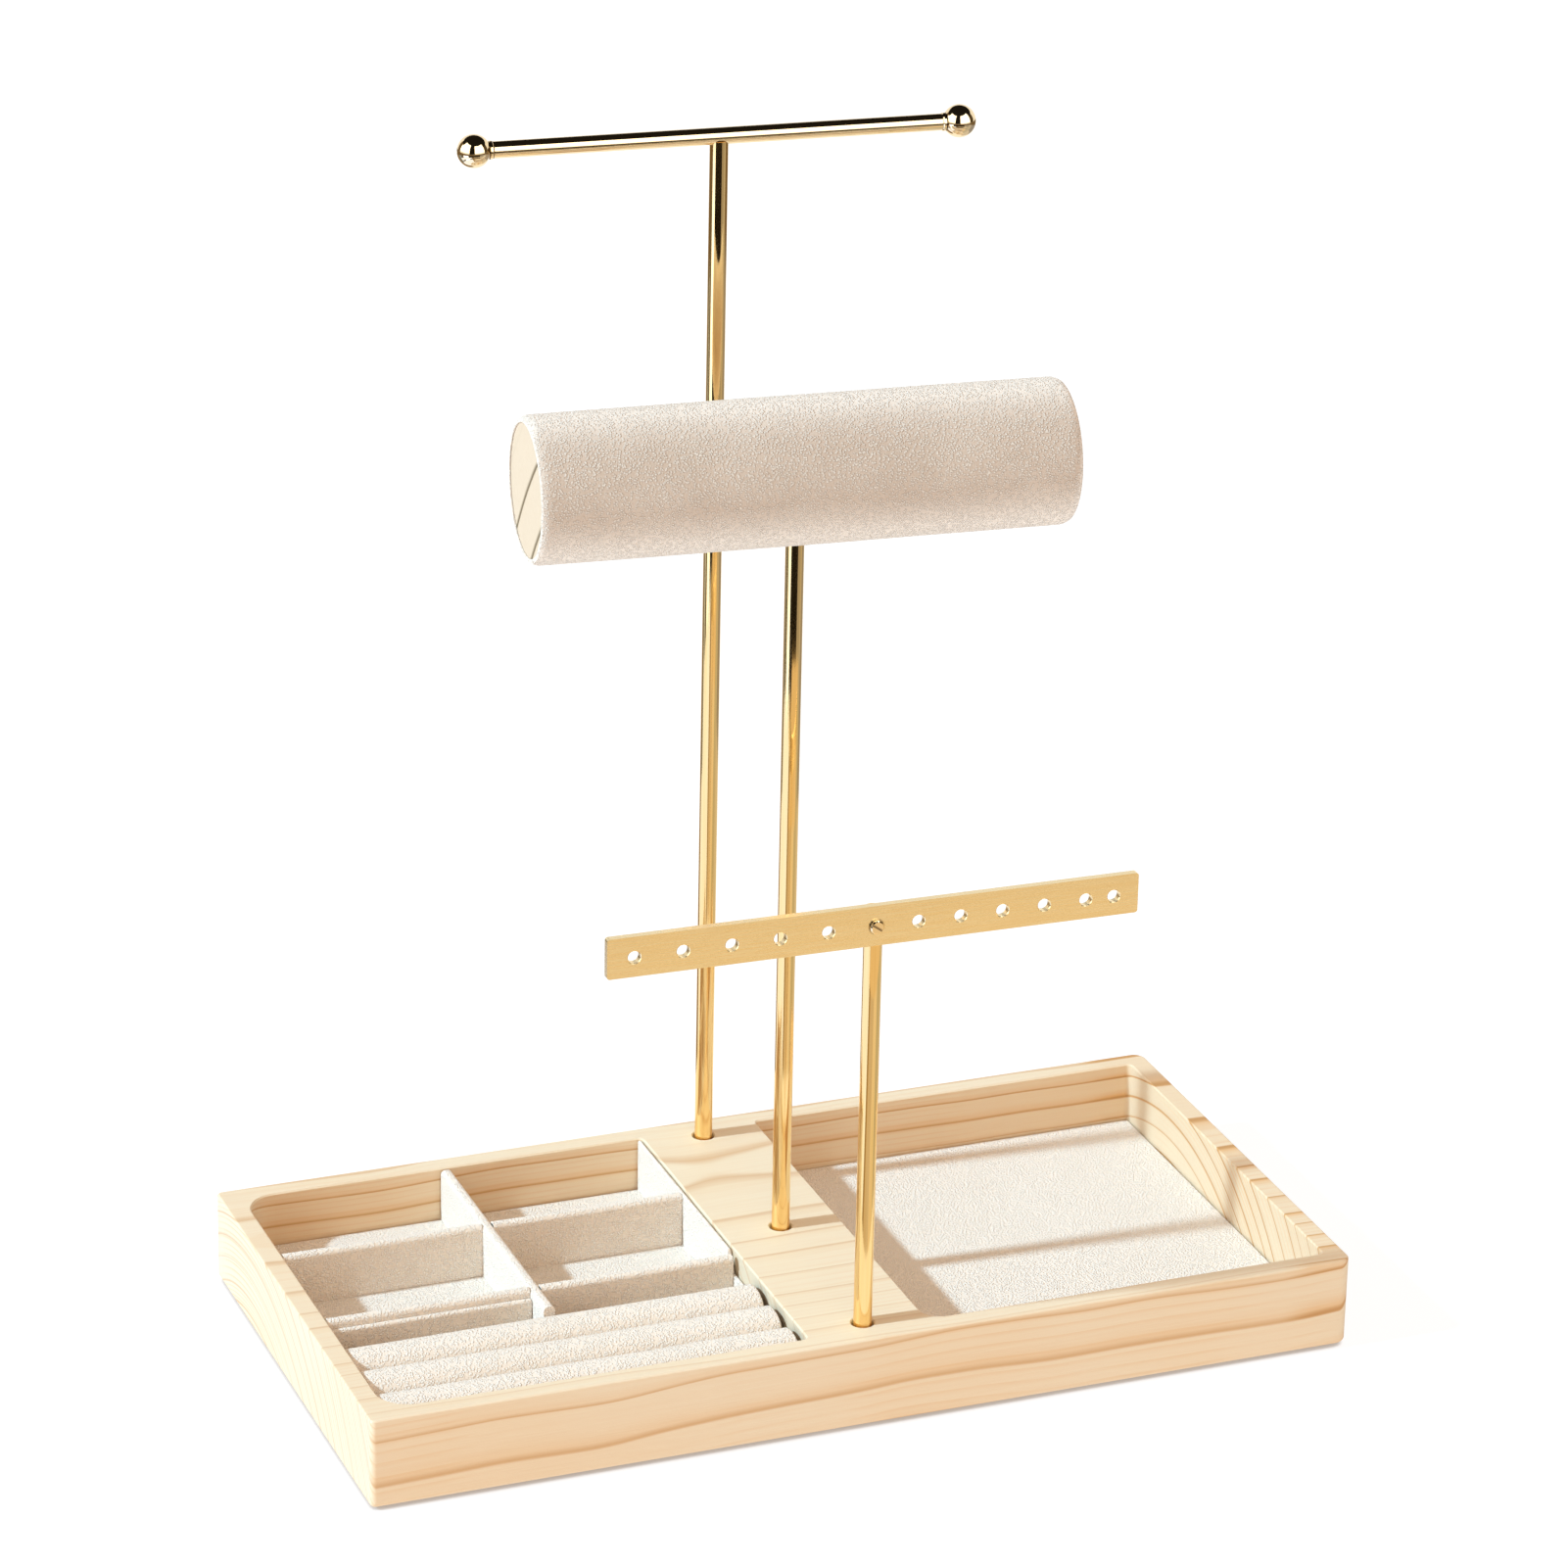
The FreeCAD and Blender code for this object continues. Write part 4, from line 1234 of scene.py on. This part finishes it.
@dataclass(frozen=True)
class Card:
    """Reflector or flag that only shiny surfaces see: a glowing card that paints a reflection and
    lights nothing.

    Bearings are degrees to the right of the camera, as seen from the stand. A
    standing card is bent round the stand between two heights; a lying one is a
    sector between two radii.
    """

    name: str
    bearings: tuple[float, float]
    radii: tuple[float, float]
    heights: tuple[float, float]
    colour: Colour
    strength: float = 1.0

    def build(self, camera_bearing: float) -> None:
        """Put the card up: a grid over bearing and the way from foot to top.

        Args:
            camera_bearing: the camera's own bearing in degrees.
        """
        bearing = np.radians(camera_bearing + np.linspace(*self.bearings, CARD_STEPS))[:, None]
        radius, height = np.array(self.radii)[None], np.array(self.heights)[None]
        points = np.stack([radius * np.sin(bearing), -radius * np.cos(bearing),
                           np.broadcast_to(height, (CARD_STEPS, 2))], axis=-1)
        foot, top = np.arange(2 * CARD_STEPS).reshape(CARD_STEPS, 2).T
        faces = np.stack([foot[:-1], foot[1:], top[1:], top[:-1]], axis=-1)
        mesh = bpy.data.meshes.new(self.name)
        mesh.from_pydata(points.reshape(-1, 3).tolist(), [], faces.tolist())
        material, bench, glow = open_material(self.name, "Emission")
        bench.fill(glow, Color=self.colour, Strength=self.strength)
        mesh.materials.append(material)
        card = put_up(self.name, mesh)
        card.visible_camera = card.visible_diffuse = card.visible_shadow = False
        card.visible_transmission = card.visible_volume_scatter = False


WHITE, BLACK = (1.0, 0.98, 0.94), (0.012, 0.010, 0.008)
SKY, SMOKE, SLATE = (0.70, 0.78, 1.0), (0.31, 0.29, 0.27), (0.20, 0.24, 0.27)
TAN, PALE_TAN = (0.68, 0.58, 0.46), (0.86, 0.76, 0.60)
RUST, BROWN = (0.41, 0.29, 0.14), (0.30, 0.21, 0.11)
OLIVE, STONE, DUSK = (0.58, 0.55, 0.46), (0.70, 0.66, 0.60), (0.34, 0.33, 0.35)
HONEY = (0.85, 0.68, 0.46)
WALL, WINDOW, TALL = (2.5, 2.5), (0.28, 3.5), (0.0, 4.2)
TABLE, NEAR_TABLE, FAR_TABLE = (0.15, 0.9), (0.15, 0.36), (0.36, 0.9)
LOW, RAISED, CEILING = (0.003, 0.003), (0.004, 0.004), (0.9, 0.9)
FAN = (("edge", (-102, -76), SMOKE, 0.5), ("bright", (-76, -42), SKY, 2.7),
       ("dark", (-42, 43), BLACK, 1.0), ("grey", (43, 78), SMOKE, 1.3),
       ("pale", (78, 100), SMOKE, 1.7))
FAN_ROWS = (("far", (0.6, 0.6), (0.0, 0.14)), ("near", (0.3, 0.3), (0.064, 0.115)))
# Painted reflections: glowing cards seen only in gloss, standing for windows, flags, a table and
# the bar's surroundings; they light nothing.
CARDS = (
    Card("window_right", (9, 80), WALL, WINDOW, WHITE, 2.6),
    Card("window_left", (-100, -28), WALL, WINDOW, WHITE, 2.6),
    Card("flag_front", (-28, 9), WALL, TALL, BLACK),
    Card("flag_right", (80, 112), WALL, TALL, BROWN, 0.3),
    Card("flag_left", (-128, -100), WALL, TALL, BROWN, 0.5),
    Card("flag_above", (90, 270), (0.0, 1.10), CEILING, BLACK),
    Card("flag_top", (-90, 90), (0.0, 0.48), CEILING, BLACK),
    Card("table_left", (-150, -120), TABLE, LOW, BROWN),
    Card("table_bright", (-120, -20), TABLE, LOW, SKY, 1.6),
    Card("table_line", (-20, -6), TABLE, LOW, RUST),
    Card("table_front", (-6, 30), TABLE, LOW, TAN),
    Card("table_right", (30, 62), TABLE, LOW, PALE_TAN),
    Card("table_shade", (62, 100), TABLE, LOW, OLIVE),
    Card("table_edge", (100, 150), NEAR_TABLE, LOW, STONE),
    Card("table_dusk", (100, 150), FAR_TABLE, LOW, DUSK),
    Card("table_rim", (-122, -104), FAR_TABLE, RAISED, SLATE),
    Card("table_far", (-150, 150), (0.9, 2.4), LOW, BROWN, 0.6),
    Card("bar_glow", (-5, 75), (0.11, 0.24), (0.10, 0.10), HONEY),
    *(Card(f"{row}_{name}", span, radii, heights, colour, strength)
      for row, radii, heights in FAN_ROWS for name, span, colour, strength in FAN),
)


@dataclass(frozen=True)
class Studio:
    """White floor and background, a low key light from the left and soft fills."""

    key_elevation: float = 36.0
    key_bearing: float = 2.5
    key_strength: float = 3.73
    key_softness: float = 3.0
    key_colour: Colour = (0.54, 0.785, 0.96)
    front_towards: tuple[float, float, float] = (-0.15, -1.0, 0.1)
    front_strength: float = 0.47
    front_softness: float = 70.0
    front_colour: Colour = (1.0, 0.97, 0.96)
    fill: Colour = (0.68, 0.545, 0.425)
    floor_glow: float = 0.88
    floor_paint: float = 0.22
    floor_colour: Colour = (0.985, 0.99, 1.0)
    # Reach and colour of the painted contact shadow under the stand.
    contact: float = 0.003
    painted_contact_shadow_colour: Colour = (0.20, 0.12, 0.06)
    floor_size: float = 8.0

    def floor(self) -> None:
        """Lay the floor, pale and slightly glowing so that shadows on it stay light; near the stand
        ambient occlusion darkens its glow, a painted contact shadow.
        """
        half = self.floor_size / 2
        mesh = bpy.data.meshes.new("studio_floor")
        corners = [(-half, -half, 0), (half, -half, 0), (half, half, 0), (-half, half, 0)]
        mesh.from_pydata(corners, [], [(0, 1, 2, 3)])
        material, bench, shader = open_material("studio_floor_paint")
        # Painted contact shadow: the floor's glow darkens towards brown where ambient occlusion
        # finds the stand close by.
        openness = bench.span(bench.creases(self.contact), 0.25, 0.60, 0.30, 1.0)
        bench.fill(shader, Base_Color=(self.floor_paint,) * 3, Roughness=1.0,
                   Specular_IOR_Level=0.0, Emission_Strength=self.floor_glow,
                   Emission_Color=bench.tint(openness, self.painted_contact_shadow_colour, self.floor_colour))
        mesh.materials.append(material)
        put_up("studio_floor", mesh)

    def lamp(self, name: str, towards: tuple[float, float, float], strength: float, width: float,
             colour: Colour) -> bpy.types.Object:
        """Hang a lamp with parallel light.

        Args:
            name: the lamp's name.
            towards: the direction from the stand to the lamp.
            strength: its strength.
            width: its apparent width in degrees.
            colour: its colour.

        Returns:
            The lamp.
        """
        data = bpy.data.lights.new(name, "SUN")
        data.energy = strength
        data.angle = math.radians(width)
        data.color = colour
        lamp = put_up(name, data)
        lamp.rotation_euler = Vector(towards).to_track_quat("Z", "Y").to_euler()
        return lamp

    def lamps(self) -> None:
        """Hang the key light near -X and a wide weak one in front that gloss doesn't show."""
        rise, aside = math.radians(self.key_elevation), math.radians(self.key_bearing)
        level = math.cos(rise)
        towards = (-level * math.cos(aside), level * math.sin(aside), math.sin(rise))
        self.lamp("key_light", towards, self.key_strength, self.key_softness, self.key_colour)
        front = self.lamp("front_light", self.front_towards, self.front_strength,
                          self.front_softness, self.front_colour)
        front.visible_glossy = False

    def surroundings(self) -> None:
        """Paint the world: white where seen, reflected or looked through, else a fill."""
        world = bpy.data.worlds.new("studio_world")
        bpy.context.scene.world = world
        world.use_nodes = True
        world.node_tree.nodes.clear()
        bench = Bench(world.node_tree)
        fill = bench.add("Background", Color=self.fill, Strength=1.0)
        white = bench.add("Background", Color=(1.0, 1.0, 1.0), Strength=1.0)
        path = bench.add("LightPath")
        seen = bench.maths("MAXIMUM", path.outputs["Is Camera Ray"], path.outputs["Is Glossy Ray"])
        shown = bench.maths("MAXIMUM", seen, path.outputs["Is Transmission Ray"])
        mix = bench.add("MixShader")
        for socket, value in zip(mix.inputs, (shown, fill.outputs[0], white.outputs[0])):
            bench.feed(socket, value)
        bench.add("OutputWorld", Surface=mix.outputs[0])

    def build(self) -> None:
        """Set up the floor, the lamps, the cards and the world."""
        self.floor()
        self.lamps()
        for card in CARDS:
            card.build(Viewpoint().yaw)
        self.surroundings()
        bpy.context.scene.view_settings.view_transform = "Standard"


def main() -> None:
    """Build and dress the stand piece by piece, then set up the studio."""
    logging.basicConfig(level=logging.INFO, format="%(name)s: %(message)s")
    palette = Palette()
    for assembly in (TrayBase, NecklaceArm, BraceletArm, EarringArm, RingInsert, TrayPad):
        assembly(palette).build()
        log.info("finished %s", assembly.__name__)
    Studio().build()
    Viewpoint().camera()


if __name__ == "__main__":
    main()
